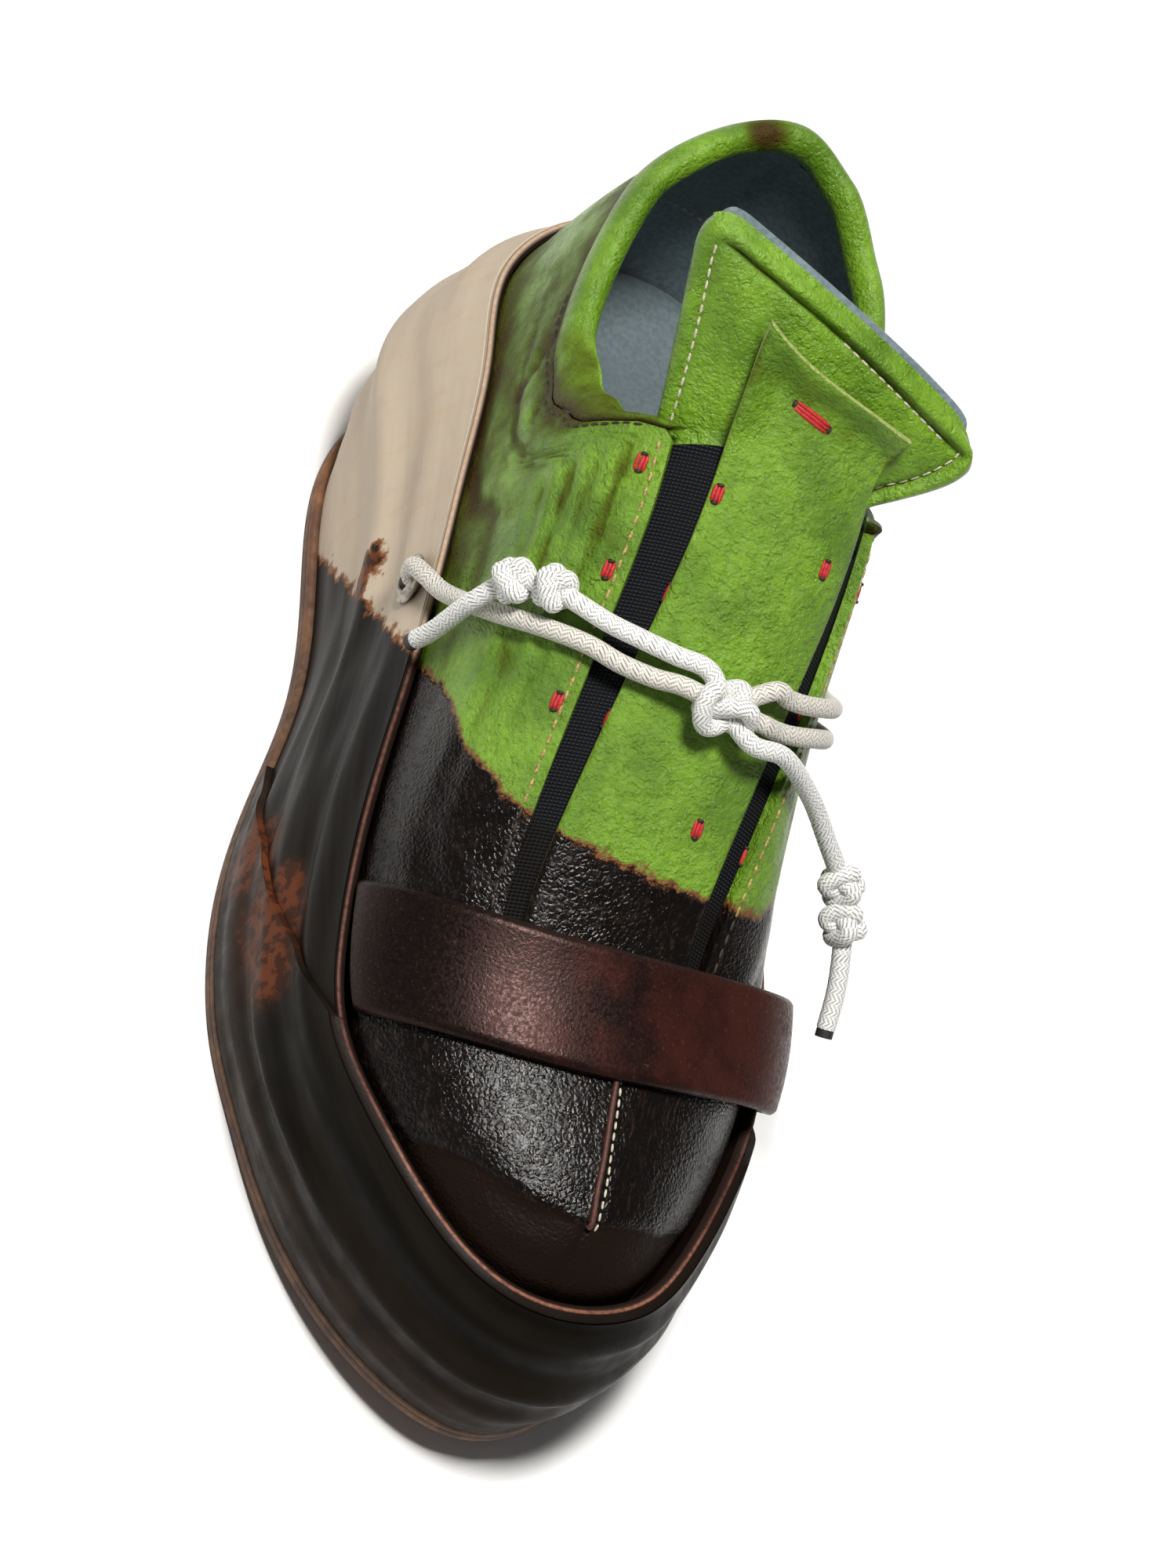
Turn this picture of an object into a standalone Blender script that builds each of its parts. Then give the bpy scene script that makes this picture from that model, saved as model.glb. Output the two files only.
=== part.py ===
"""Platform slip-on shoe for a right foot: leather-covered wedge and front platform, hollow upper,
padded collar and tongue, elastic gores, instep strip, vamp strap and a knotted cord through two eyelets.

Sizes are in millimetres. +X is the inner (medial) side, the toe points to -Y and +Z is up.
The shoe stands on Z = 0, and the origin lies on the flat of the outsole.
"""

import math

import bmesh
import bpy
import numpy as np

MM = 0.001

# Leather, board and clearances
WALL = 2.2  # upper leather with its lining
COVER = 2.2  # leather cover of the sole
GAP = 0.3  # between neighbouring pieces
TUCK = 0.5  # how far the lasted edge of the upper draws in below the rim
RIM_DEPTH = 12.0  # how far the covers stand above the footbed
OUTSOLE = 4.0
WELT = 1.6  # how far the outsole stands out from the covers
TOE_SPRING = 7.0
SPRING_START = -66.0  # where the outsole leaves the floor, measured along Y
SPRING_END = -130.0  # where it has risen by the whole spring
INSOLE = 2.6

# The front platform stands out from the wedge, and a slanting seam parts the two
PLATFORM_STEP = 1.6
SEAM_FOOT_Y = 5.5
SEAM_SLOPE = 0.5
GROOVES = 3  # soft ribs along the covered wall
GROOVE_DEPTH = 0.8

# Throat, gores, strip, tongue and strap, measured along the surface from the instep ridge
THROAT_TOP = 14 / 3  # station of the collar's front ends
THROAT_END = 25 / 3  # station where the throat closes, under the strap
GORE = 1.0
TONGUE = 4.6
TONGUE_FREE = 6.0
STRAP = 2.7

# Eyelets in the wedge
EYELET_HOLE = 3.1
EYELET_FLANGE = 5.4
EYELET_SEAT = 3.5  # radius of the hole in the cover
EYELET_SIDES = 20
EYELET_BELOW = 6.3  # below the rim

# Stations run from the back of the heel to the tip of the toe. Each row gives the top edge of the sole's
# covers on both sides, and the ridge of the last above it with the way the surface leaves the ridge.
STATION = ("name", "lat_x", "lat_y", "med_x", "med_y", "rim_z")
STATION += ("ridge_x", "ridge_y", "ridge_z", "turn", "low", "high", "lean")
STATIONS = [
    ("heel_back", 0.0, 123.5, 0.0, 123.5, 63.0, 0.0, 90.0, 150.0, -90, 0.55, 0.75, 0.05),
    ("heel_corner", -21.0, 118.0, 18.5, 117.5, 63.0, 0.0, 86.0, 150.0, -58, 0.55, 0.64, 0.03),
    ("heel_side", -35.5, 99.5, 30.5, 98.5, 62.5, 0.0, 82.0, 149.0, -24, 0.57, 0.74, 0.02),
    ("counter", -38.2, 74.0, 33.5, 73.0, 65.0, 0.5, 70.0, 146.0, 0, 0.60, 0.88, 0.07),
    ("waist", -40.0, 48.0, 35.5, 47.0, 63.0, 3.0, 49.0, 138.0, 0, 0.62, 0.90, 0.06),
    ("shank", -41.3, 22.5, 37.0, 21.5, 58.8, 5.5, 24.0, 123.0, 0, 0.68, 0.85, 0.03),
    ("instep", -43.5, -3.0, 40.0, -4.5, 54.0, 3.6, -1.0, 106.0, 0, 0.64, 0.74, 0.02),
    ("ball_back", -46.0, -28.5, 45.0, -30.5, 49.5, 0.6, -27.0, 88.5, 0, 0.60, 0.64, 0.05),
    ("ball", -46.0, -53.5, 49.0, -56.0, 45.0, -0.4, -53.0, 72.0, 0, 0.58, 0.60, 0.06),
    ("joint", -42.5, -73.0, 45.5, -78.0, 42.5, 4.0, -73.0, 64.5, 0, 0.60, 0.60, 0.06),
    ("toe_corner", -32.0, -91.5, 37.5, -98.0, 43.5, 6.5, -88.5, 61.5, 40, 0.62, 0.60, 0.05),
    ("toe_front", -14.5, -112.0, 26.0, -113.5, 45.0, 7.5, -97.5, 59.3, 68, 0.64, 0.60, 0.04),
    ("toe_tip", 6.0, -120.0, 6.0, -120.0, 45.5, 7.5, -100.5, 58.5, 90, 0.64, 0.60, 0.04),
]
# The sole's lower outline at the same stations, with how far the covered wall bellies out between the two.
SOLE = ("name", "lat_x", "lat_y", "med_x", "med_y", "belly")
SOLE_ROWS = [
    ("heel_back", 0.0, 112.0, 0.0, 112.0, 8.0),
    ("heel_corner", -21.5, 107.5, 20.0, 107.0, 8.5),
    ("heel_side", -37.5, 91.5, 34.0, 90.5, 8.0),
    ("counter", -43.0, 71.0, 38.0, 70.0, 5.0),
    ("waist", -42.0, 47.5, 36.5, 46.5, 3.0),
    ("shank", -42.6, 22.5, 37.0, 21.5, 2.5),
    ("instep", -48.5, -3.5, 42.5, -4.5, 2.5),
    ("ball_back", -52.6, -30.0, 48.5, -30.5, 2.5),
    ("ball", -50.5, -56.0, 51.0, -58.0, 2.5),
    ("joint", -43.5, -76.0, 46.5, -81.0, 3.0),
    ("toe_corner", -33.5, -98.0, 38.5, -102.0, 3.5),
    ("toe_front", -17.0, -119.0, 25.5, -120.5, 4.0),
    ("toe_tip", 5.5, -130.5, 5.5, -130.5, 4.0),
]
# By station: the collar's crest, the height of its roll, half the throat's width and half the strip's.
CREST = [(0.0, 121.5), (1.0, 118.5), (2.0, 112.5), (3.5, 102.0), (4.0, 104.5)]
COLLAR = {
    "lateral": CREST + [(4.35, 111.0), (4.67, 123.0)],
    "medial": CREST + [(4.35, 109.0), (4.67, 116.5)],
}
ROLL = [(0.0, 8.5), (3.3, 8.5), (4.0, 10.0), (4.35, 9.5), (4.67, 3.5)]
THROAT = [(4.6, 29.0), (6.0, 26.5), (7.0, 24.5), (8.4, 21.5)]
STRIP = [(4.6, 18.0), (8.4, 18.0)]
# How far the tongue reaches under each quarter, by station
UNDERLAP = {
    "lateral": [(4.6, 9.0), (5.2, 5.0), (5.7, 4.0)],
    "medial": [(4.6, -1.0), (5.2, 2.0), (5.7, 4.0)],
}

LAST = len(STATIONS) - 1
TURNS = 2 * LAST  # stations in one full round
STEPS = 3  # columns between two stations
ROUND = np.arange(TURNS * STEPS) / STEPS


def column(rows, names, name):
    return np.array([row[names.index(name)] for row in rows], float)


def both_sides(rows, names, lateral, medial):
    """One round of values: heel to toe on the lateral side, then back along the medial side."""
    out = column(rows, names, lateral)
    back = column(rows, names, medial)
    return np.concatenate([out, back[-2:0:-1]])


def closed_spline(values):
    """Smooth closed curve through values at whole-number stations."""
    points = np.asarray(values, float)
    count = len(points)
    unit = np.eye(count)
    system = 4 * unit + np.roll(unit, 1, 0) + np.roll(unit, -1, 0)
    bend = np.linalg.solve(system, 6 * (np.roll(points, 1, 0) - 2 * points + np.roll(points, -1, 0)))

    def at(station):
        whole = np.floor(station).astype(int)
        t = station - whole
        i, j = whole % count, (whole + 1) % count
        s = 1 - t
        return s * points[i] + t * points[j] + ((s**3 - s) * bend[i] + (t**3 - t) * bend[j]) / 6

    return at


def curve_of(rows, names, lateral, medial=None):
    return closed_spline(both_sides(rows, names, lateral, medial or lateral))


rim_x = curve_of(STATIONS, STATION, "lat_x", "med_x")
rim_y = curve_of(STATIONS, STATION, "lat_y", "med_y")
rim_z = curve_of(STATIONS, STATION, "rim_z")
ridge_x = curve_of(STATIONS, STATION, "ridge_x")
ridge_y = curve_of(STATIONS, STATION, "ridge_y")
ridge_z = curve_of(STATIONS, STATION, "ridge_z")
low_fullness = curve_of(STATIONS, STATION, "low")
high_fullness = curve_of(STATIONS, STATION, "high")
lean_out = curve_of(STATIONS, STATION, "lean")
sole_x = curve_of(SOLE_ROWS, SOLE, "lat_x", "med_x")
sole_y = curve_of(SOLE_ROWS, SOLE, "lat_y", "med_y")
sole_belly = curve_of(SOLE_ROWS, SOLE, "belly")

TURN = np.radians(column(STATIONS, STATION, "turn"))
SIDEWAYS = np.concatenate([-np.cos(TURN), np.cos(TURN)[-2:0:-1]])
FORWARD = np.concatenate([-np.sin(TURN), -np.sin(TURN)[-2:0:-1]])
leave_x = closed_spline(SIDEWAYS)
leave_y = closed_spline(FORWARD)
TOE_FALL = 0.22  # slope of the ridge where the toe's profiles leave it


def outward(x_of, y_of, station):
    """Outward normal in plan of a closed outline."""
    step = 0.02
    dx = x_of(station + step) - x_of(station - step)
    dy = y_of(station + step) - y_of(station - step)
    size = np.hypot(dx, dy)
    return dy / size, -dx / size


def outline(x_of, y_of, station, grow):
    """An outline moved outward in plan."""
    nx, ny = outward(x_of, y_of, station)
    return x_of(station) + grow * nx, y_of(station) + grow * ny


def ring(x, y, z):
    return np.stack([x, y, z + 0 * x], axis=-1)


def unit_of(vectors):
    return vectors / np.linalg.norm(vectors, axis=-1, keepdims=True)


def floor_height(y):
    """Underside of the outsole: flat, then the toe spring."""
    reach = np.clip((SPRING_START - y) / (SPRING_START - SPRING_END), 0, None)
    return TOE_SPRING * reach**2


def upper_point(station, rise):
    """Outer face of the upper: rise runs from the lasted edge (0) to the ridge (1)."""
    station, rise = np.broadcast_arrays(np.asarray(station, float), np.asarray(rise, float))
    foot_x, foot_y = outline(rim_x, rim_y, station, -(COVER + GAP + TUCK))
    foot_z = rim_z(station) - RIM_DEPTH
    nx, ny = outward(rim_x, rim_y, station)
    top = np.stack([ridge_x(station), ridge_y(station), ridge_z(station)], -1)
    foot = np.stack([foot_x, foot_y, foot_z], -1)
    climb = low_fullness(station) * (top[..., 2] - foot_z)
    lean = lean_out(station) * climb
    low = foot + np.stack([lean * nx, lean * ny, climb], -1)
    reach = high_fullness(station) * np.hypot(foot_x - top[..., 0], foot_y - top[..., 1])
    side, ahead = leave_x(station), leave_y(station)
    high = top + np.stack([reach * side, reach * ahead, TOE_FALL * reach * np.minimum(ahead, 0)], -1)
    t = rise[..., None]
    s = 1 - t
    return s**3 * foot + 3 * s**2 * t * low + 3 * s * t**2 * high + t**3 * top


def upper_normal(station, rise):
    step = 0.01
    rise = np.clip(rise, 0.0, 0.985)
    along = upper_point(station + step, rise) - upper_point(station - step, rise)
    climb = upper_point(station, rise + step) - upper_point(station, np.maximum(rise - step, 0))
    return unit_of(np.cross(along, climb))


def side_station(station, distance):
    """Stations count on round the toe: the medial side mirrors the lateral side."""
    return station if distance <= 0 else TURNS - station


RISES = np.linspace(1, 0, 121)


def rise_at_distance(station, distance):
    """Rise at a distance along the section from the ridge."""
    line = upper_point(station, RISES)
    lengths = np.concatenate([[0], np.cumsum(np.linalg.norm(np.diff(line, axis=0), axis=1))])
    return float(np.interp(distance, lengths, RISES))


def rise_at_height(station, height):
    line = upper_point(station, RISES)
    return float(np.interp(-height, -line[:, 2], RISES))


def on_upper(station, distance, lift):
    """A point at a signed distance from the ridge, lateral negative, lifted off the upper's face."""
    side = side_station(station, distance)
    rise = rise_at_distance(side, abs(distance))
    return upper_point(side, rise) + lift * upper_normal(side, rise)


def look_up(table, station):
    rows = np.array(table)
    return float(np.interp(station, rows[:, 0], rows[:, 1]))


def smooth_look_up(table, station):
    """Cosine-eased reading of a short table."""
    for (a, low), (b, high) in zip(table, table[1:]):
        if station <= b:
            t = max(0.0, (station - a) / (b - a))
            return low + (high - low) * (0.5 - 0.5 * math.cos(math.pi * t))
    return table[-1][1]


# Building meshes


def material_of(name, color, roughness, metallic=0.0):
    material = bpy.data.materials.new(name)
    material.use_nodes = True
    shader = material.node_tree.nodes["Principled BSDF"]
    shader.inputs["Base Color"].default_value = (*color, 1.0)
    shader.inputs["Roughness"].default_value = roughness
    shader.inputs["Metallic"].default_value = metallic
    return material


def add_object(name, points, faces, color, roughness=0.6, metallic=0.0):
    """A closed mesh object, its faces turned outward."""
    mesh = bpy.data.meshes.new(name)
    mesh.from_pydata([tuple(np.asarray(p) * MM) for p in points], [], [list(map(int, f)) for f in faces])
    work = bmesh.new()
    work.from_mesh(mesh)
    bmesh.ops.recalc_face_normals(work, faces=work.faces)
    work.to_mesh(mesh)
    work.free()
    mesh.materials.append(material_of(name, color, roughness, metallic))
    solid = bpy.data.objects.new(name, mesh)
    bpy.context.scene.collection.objects.link(solid)
    return solid


def ladder(first, count):
    """Closes a ring of columns across the shoe, lateral column to medial column."""
    half = count // 2
    faces = [(first, first + 1, first + count - 1)]
    for i in range(1, half - 1):
        faces.append((first + i, first + i + 1, first + count - i - 1, first + count - i))
    faces.append((first + half - 1, first + half, first + half + 1))
    return faces


def stacked(rings, closed_ends=True):
    """Faces and points of rings joined one above another."""
    count = len(rings[0])
    points = np.concatenate(rings)
    faces = []
    for level in range(len(rings) - 1):
        low, high = level * count, (level + 1) * count
        for i in range(count):
            j = (i + 1) % count
            faces.append((low + i, low + j, high + j, high + i))
    if closed_ends:
        faces += ladder(0, count) + ladder((len(rings) - 1) * count, count)
    return points, faces


def slab(outer, inner):
    """A closed sheet from two grids of points, shaped (rows, columns, 3)."""
    rows, columns = outer.shape[:2]
    points = np.concatenate([outer.reshape(-1, 3), inner.reshape(-1, 3)])
    back = rows * columns
    faces = []
    for r in range(rows - 1):
        for c in range(columns - 1):
            a, b = r * columns + c, r * columns + c + 1
            d, e = a + columns, b + columns
            faces.append((a, b, e, d))
            faces.append((back + a, back + d, back + e, back + b))
    edge = list(range(columns))
    edge += [r * columns + columns - 1 for r in range(1, rows)]
    edge += [(rows - 1) * columns + c for c in range(columns - 2, -1, -1)]
    edge += [r * columns for r in range(rows - 2, 0, -1)]
    for i, a in enumerate(edge):
        b = edge[(i + 1) % len(edge)]
        faces.append((a, b, back + b, back + a))
    return points, faces


def thicken(points, normals, faces, depth):
    """A hollow wall: the outer faces, an inner copy and the edges that join them."""
    back = len(points)
    used = {}
    for face in faces:
        for a, b in zip(face, face[1:] + face[:1]):
            used[(a, b)] = True
    solid = list(faces) + [tuple(back + i for i in reversed(face)) for face in faces]
    for a, b in used:
        if (b, a) not in used:
            solid.append((b, a, back + a, back + b))
    return np.concatenate([points, points - depth * normals]), solid


# Sole

PALE = (0.62, 0.55, 0.46)
DARK = (0.05, 0.035, 0.025)
TAN = (0.34, 0.19, 0.09)
GREEN = (0.16, 0.36, 0.02)
GREY = (0.16, 0.19, 0.20)
ELASTIC = (0.03, 0.03, 0.033)
STRAP_BROWN = (0.09, 0.04, 0.025)
STEEL = (0.6, 0.6, 0.58)
WHITE = (0.8, 0.8, 0.78)

WALL_RINGS = 10


def wall_ring(share, grow):
    """One ring of the covered wall, from the outsole (0) to the rim (1)."""
    low_x, low_y = outline(sole_x, sole_y, ROUND, grow)
    high_x, high_y = outline(rim_x, rim_y, ROUND, grow)
    low_z = floor_height(low_y) + OUTSOLE + GAP
    x = low_x + share * (high_x - low_x)
    y = low_y + share * (high_y - low_y)
    z = low_z + share * (rim_z(ROUND) - low_z)
    nx, ny = outward(rim_x, rim_y, ROUND)
    rib = GROOVE_DEPTH * math.cos(2 * math.pi * GROOVES * share) * math.sin(math.pi * share)
    swell = sole_belly(ROUND) * math.sin(math.pi * share) - rib
    return ring(x + swell * nx, y + swell * ny, z)


def sole_block(grow):
    """The covered block with its rim and the basin that takes the upper."""
    rings = [wall_ring(i / WALL_RINGS, grow) for i in range(WALL_RINGS + 1)]
    top_x, top_y = outline(rim_x, rim_y, ROUND, -COVER)
    low_x, low_y = outline(rim_x, rim_y, ROUND, -(COVER + TUCK))
    rings.append(ring(top_x, top_y, rim_z(ROUND)))
    rings.append(ring(low_x, low_y, rim_z(ROUND) - RIM_DEPTH - GAP))
    return stacked(rings)


def half_space(name, lift, above):
    """A large block whose face lies on the seam between wedge and front platform."""
    size = 400.0
    tilt = math.atan(SEAM_SLOPE)
    mid_z = size / 2 if above else -size / 2
    corners = []
    for dx in (-size / 2, size / 2):
        for dy in (-size / 2, size / 2):
            for dz in (-size / 2, size / 2):
                y, z = dy, dz + mid_z + lift
                turned_y = y * math.cos(tilt) + z * math.sin(tilt)
                turned_z = -y * math.sin(tilt) + z * math.cos(tilt)
                corners.append((dx, turned_y + SEAM_FOOT_Y, turned_z + OUTSOLE))
    faces = [(0, 1, 3, 2), (4, 6, 7, 5), (0, 4, 5, 1), (2, 3, 7, 6), (0, 2, 6, 4), (1, 5, 7, 3)]
    return cutter(name, corners, faces)


def cutter(name, points, faces):
    tool = add_object(name, points, faces, WHITE)
    tool.hide_render = True
    tool.display_type = "WIRE"
    return tool


def cut(solid, tool):
    change = solid.modifiers.new(tool.name, "BOOLEAN")
    change.operation = "DIFFERENCE"
    change.solver = "EXACT"
    change.object = tool


def tube_points(center, axis, radii, depths, sides):
    """Rings round an axis, a radius and a depth for each."""
    axis = unit_of(np.asarray(axis, float))
    first = unit_of(np.cross(axis, (0.0, 0.0, 1.0)))
    second = np.cross(axis, first)
    angles = 2 * math.pi * np.arange(sides) / sides
    circle = np.cos(angles)[:, None] * first + np.sin(angles)[:, None] * second
    return [np.asarray(center) + depth * axis + radius * circle for radius, depth in zip(radii, depths)]


def eyelet_seat(station, below):
    """Middle and outward direction of an eyelet in the wedge's cover."""
    share = 1 - below / (rim_z(station) - OUTSOLE)
    low = np.array([sole_x(station), sole_y(station), OUTSOLE + GAP])
    high = np.array([rim_x(station), rim_y(station), rim_z(station)])
    nx, ny = outward(rim_x, rim_y, station)
    axis = np.array([nx, ny, 0.0])
    rib = GROOVE_DEPTH * math.cos(2 * math.pi * GROOVES * share) * math.sin(math.pi * share)
    return low + share * (high - low) + (sole_belly(station) * math.sin(math.pi * share) - rib) * axis, axis


EYELETS = {"lateral": np.float64(4.9), "medial": np.float64(TURNS - 5.05)}


def build_sole():
    wedge = add_object("wedge", *sole_block(0.0), PALE)
    platform = add_object("front_platform", *sole_block(PLATFORM_STEP), DARK)
    cut(wedge, half_space("cut_below_seam", 0.0, False))
    cut(platform, half_space("cut_above_seam", -GAP, True))
    for side, station in EYELETS.items():
        seat, axis = eyelet_seat(station, EYELET_BELOW)
        hole = tube_points(seat, axis, (EYELET_SEAT, EYELET_SEAT), (-9.0, 6.0), EYELET_SIDES)
        cut(wedge, cutter("eyelet_hole_" + side, *stacked(hole)))
        flange, lip, bore = EYELET_FLANGE, EYELET_FLANGE - 1.2, EYELET_HOLE - 0.6
        radii = (bore, EYELET_HOLE, EYELET_HOLE, flange, flange, lip, bore)
        depths = (-2.4, -2.4, 1.25, 1.25, 1.75, 2.5, 1.8)
        rings = tube_points(seat, axis, radii, depths, EYELET_SIDES)
        points, faces = stacked(rings + rings[:1], closed_ends=False)
        count = len(rings) * EYELET_SIDES
        faces = [tuple(i % count for i in face) for face in faces]
        add_object("eyelet_" + side, points[:count], faces, STEEL, 0.3, 1.0)
    x, y = outline(sole_x, sole_y, ROUND, WELT)
    inner_x, inner_y = outline(sole_x, sole_y, ROUND, WELT - 0.8)
    base = floor_height(y)
    rings = [
        ring(inner_x, inner_y, floor_height(inner_y)),
        ring(x, y, base + 0.8),
        ring(x, y, base + OUTSOLE - 0.6),
        ring(inner_x, inner_y, floor_height(inner_y) + OUTSOLE),
    ]
    add_object("outsole", *stacked(rings), TAN)
    inset = COVER + GAP + TUCK + WALL + 0.5
    x, y = outline(rim_x, rim_y, ROUND, -inset)
    deep_x, deep_y = outline(rim_x, rim_y, ROUND, -inset - 0.8)
    bed = rim_z(ROUND) - RIM_DEPTH
    rings = [ring(x, y, bed), ring(x, y, bed + INSOLE - 0.6), ring(deep_x, deep_y, bed + INSOLE)]
    add_object("insole", *stacked(rings), GREY)


# Upper

EDGE_ROWS = 7  # rows from the lasted edge to collar seam or throat
VAMP_ROWS = 5  # rows from there over the ridge
FREE_EDGE = 20.0  # distance of that line from the ridge where the throat closes


def edge_rise(round_station):
    """Top of the quarters at one column: the collar seam, the throat's edge or a line over the vamp."""
    station = min(round_station, TURNS - round_station)
    if station <= THROAT_TOP + 1e-6:
        crest = smooth_look_up(COLLAR["lateral" if round_station < LAST else "medial"], station)
        return rise_at_height(round_station, crest - look_up(ROLL, station))
    if station <= THROAT_END + 1e-6:
        return rise_at_distance(round_station, look_up(THROAT, station))
    share = (station - THROAT_END) / (LAST - THROAT_END)
    return rise_at_distance(round_station, FREE_EDGE * (1 - 0.6 * share))


def build_upper():
    points, normals, index = [], [], {}

    def vertex(round_station, row, rise):
        key = (round_station, row)
        if row == EDGE_ROWS + VAMP_ROWS:
            key = (min(round_station, TURNS - round_station), "ridge")
        if key not in index:
            index[key] = len(points)
            points.append(upper_point(round_station, rise))
            normals.append(upper_normal(round_station, rise))
        return index[key]

    columns = []
    for station in ROUND:
        edge = edge_rise(station)
        rises = [edge * row / EDGE_ROWS for row in range(EDGE_ROWS + 1)]
        if THROAT_END - 1e-6 <= min(station, TURNS - station):
            rises += [edge + (1 - edge) * row / VAMP_ROWS for row in range(1, VAMP_ROWS + 1)]
        columns.append([vertex(station, row, rise) for row, rise in enumerate(rises)])
    faces = []
    for i, here in enumerate(columns):
        there = columns[(i + 1) % len(columns)]
        for row in range(min(len(here), len(there)) - 1):
            faces.append((here[row], there[row], there[row + 1], here[row + 1]))
    points, faces = thicken(np.array(points), np.array(normals), faces, WALL)
    return add_object("upper", points, faces, GREEN)


# Outline of the collar roll: out from the wall, and up from the seam as a share of its height
ROLL_SECTION = [
    (0.0, 0.0),
    (1.0, 0.22),
    (1.3, 0.52),
    (0.6, 0.82),
    (-1.4, 1.0),
    (-3.4, 0.92),
    (-4.8, 0.70),
    (-5.0, 0.40),
    (-3.8, 0.14),
    (-2.2, 0.0),
]


ROLL_FRONT = 3.3  # station from which the roll flattens toward the throat
ROLL_SLIM = 0.45  # what is left there of its depth inside the wall
ROLL_LEAN = 2.5  # how far the flattened band leans in over the mouth


def roll_ring(round_station):
    """One section of the collar roll."""
    station = min(round_station, TURNS - round_station)
    rise = edge_rise(round_station)
    base = upper_point(round_station, rise)
    normal = upper_normal(round_station, rise)
    climb = unit_of(upper_point(round_station, rise + 0.01) - upper_point(round_station, rise - 0.01))
    front = max(0.0, (station - ROLL_FRONT) / (THROAT_TOP - ROLL_FRONT))
    slim = 1 - (1 - ROLL_SLIM) * front
    lean = ROLL_LEAN * 4 * front * (1 - front)
    height = look_up(ROLL, station)
    section = []
    for out, up in ROLL_SECTION:
        inside = out if out > -WALL else min(slim * out, -WALL)
        section.append(base + (inside - lean * up**2) * normal + (GAP + up * height) * climb)
    return np.array(section)


def build_collar():
    top = round(THROAT_TOP * STEPS)
    rings = [roll_ring(np.float64(-step / STEPS % TURNS)) for step in range(-top, top + 1)]
    count = len(ROLL_SECTION)
    points, faces = stacked(rings, closed_ends=False)
    faces.append(tuple(range(count)))
    faces.append(tuple(range(len(points) - count, len(points))))
    return add_object("collar", points, faces, GREEN)


# Tongue: through the throat, then flaring free above the collar to a slanted top with round corners
TONGUE_LATERAL = np.array([-36.1, 64.5, 152.5])  # where its edges would meet without the round
TONGUE_MEDIAL = np.array([39.5, 45.1, 135.5])
TONGUE_CROWN = np.array([0.0, -2.5, 4.0])  # rise of the middle of its top edge
TONGUE_BOW = np.array([3.4, -2.4, 0.0])  # swing of its medial edge two thirds of the way up
TONGUE_DIP = [(4.6, 3.4), (5.6, 0.0)]  # depth of its edges below the gores, by station
TONGUE_END = 8.0  # station of its lower end
CORNER_SHARE = 0.20  # size of the round corners across the half width and up the free height
CORNER_RISE = 0.15
TONGUE_COLUMNS = 13
THROAT_ROWS = 8
FREE_ROWS = 7
STRIP_END = 8.25  # station of the strip's lower end
STRIP_FREE_ROWS = 4  # rows of the free tongue that the strip covers
STRIP_COLUMNS = 7
GORE_OVERLAP = 3.5


def closer_at_ends(values):
    """Steps from -1 to 1 drawn closer together at both ends."""
    return values * (1.3 - 0.3 * values**2)


def round_corner(share, t):
    """Moves a spot of the free tongue so that its two top corners are round."""
    u = max(0.0, (abs(share) - 1) / CORNER_SHARE + 1)
    v = max(0.0, (t - 1) / CORNER_RISE + 1)
    share += math.copysign(CORNER_SHARE * u * (math.sqrt(1 - v * v / 2) - 1), share)
    return share, t + CORNER_RISE * v * (math.sqrt(1 - u * u / 2) - 1)


def tongue_half(station, share):
    return look_up(THROAT, station) + look_up(UNDERLAP["lateral" if share < 0 else "medial"], station)


def under_gores(station, share):
    """Outer face of the tongue in the throat, its edges dipping to pass inside the collar."""
    depth = WALL + GORE + 2 * GAP + look_up(TONGUE_DIP, station) * share**2
    return on_upper(np.float64(station), share * tongue_half(station, share), -depth)


def tongue_spot(share, t):
    """Outer face of the free tongue, from the top of the throat (0) to its top edge (1)."""
    share, t = round_corner(share, t)
    low = under_gores(THROAT_TOP, share)
    high = TONGUE_LATERAL + (TONGUE_MEDIAL - TONGUE_LATERAL) * (share + 1) / 2 + TONGUE_CROWN * (1 - share**2)
    return low + t * (high - low) + TONGUE_BOW * 6.75 * t**2 * (1 - t) * max(0.0, share) ** 3


def grid_normals(grid):
    along = np.gradient(grid, axis=0)
    across = np.gradient(grid, axis=1)
    return unit_of(np.cross(across, along))


def tongue_face():
    shares = closer_at_ends(np.linspace(-1, 1, TONGUE_COLUMNS))
    rows = []
    for station in np.linspace(TONGUE_END, THROAT_TOP, THROAT_ROWS):
        rows.append([under_gores(station, share) for share in shares])
    for step in np.arange(1, FREE_ROWS + 1) / FREE_ROWS:
        t = step * (1.35 - 0.35 * step)
        rows.append([tongue_spot(share, t) for share in shares])
    return shares, np.array(rows)


def build_strip(tongue_shares, face, normals):
    """The strip lies over the gores, then on the free tongue."""
    shares = np.linspace(-1, 1, STRIP_COLUMNS)
    outer, inner = [], []
    for station in np.linspace(STRIP_END, THROAT_TOP, 9):
        half = look_up(STRIP, station)
        outer.append([on_upper(np.float64(station), share * half, 0.0) for share in shares])
        inner.append([on_upper(np.float64(station), share * half, -WALL) for share in shares])
    half = look_up(STRIP, THROAT_TOP)
    spots = np.array([share * half / tongue_half(THROAT_TOP, share) for share in shares])
    for row in range(THROAT_ROWS, THROAT_ROWS + STRIP_FREE_ROWS):
        base = np.stack([np.interp(spots, tongue_shares, face[row, :, axis]) for axis in range(3)], -1)
        lift = np.stack([np.interp(spots, tongue_shares, normals[row, :, axis]) for axis in range(3)], -1)
        inner.append(base + GAP * lift)
        outer.append(base + (GAP + WALL) * lift)
    add_object("instep_strip", *slab(np.array(outer), np.array(inner)), GREEN)


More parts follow.
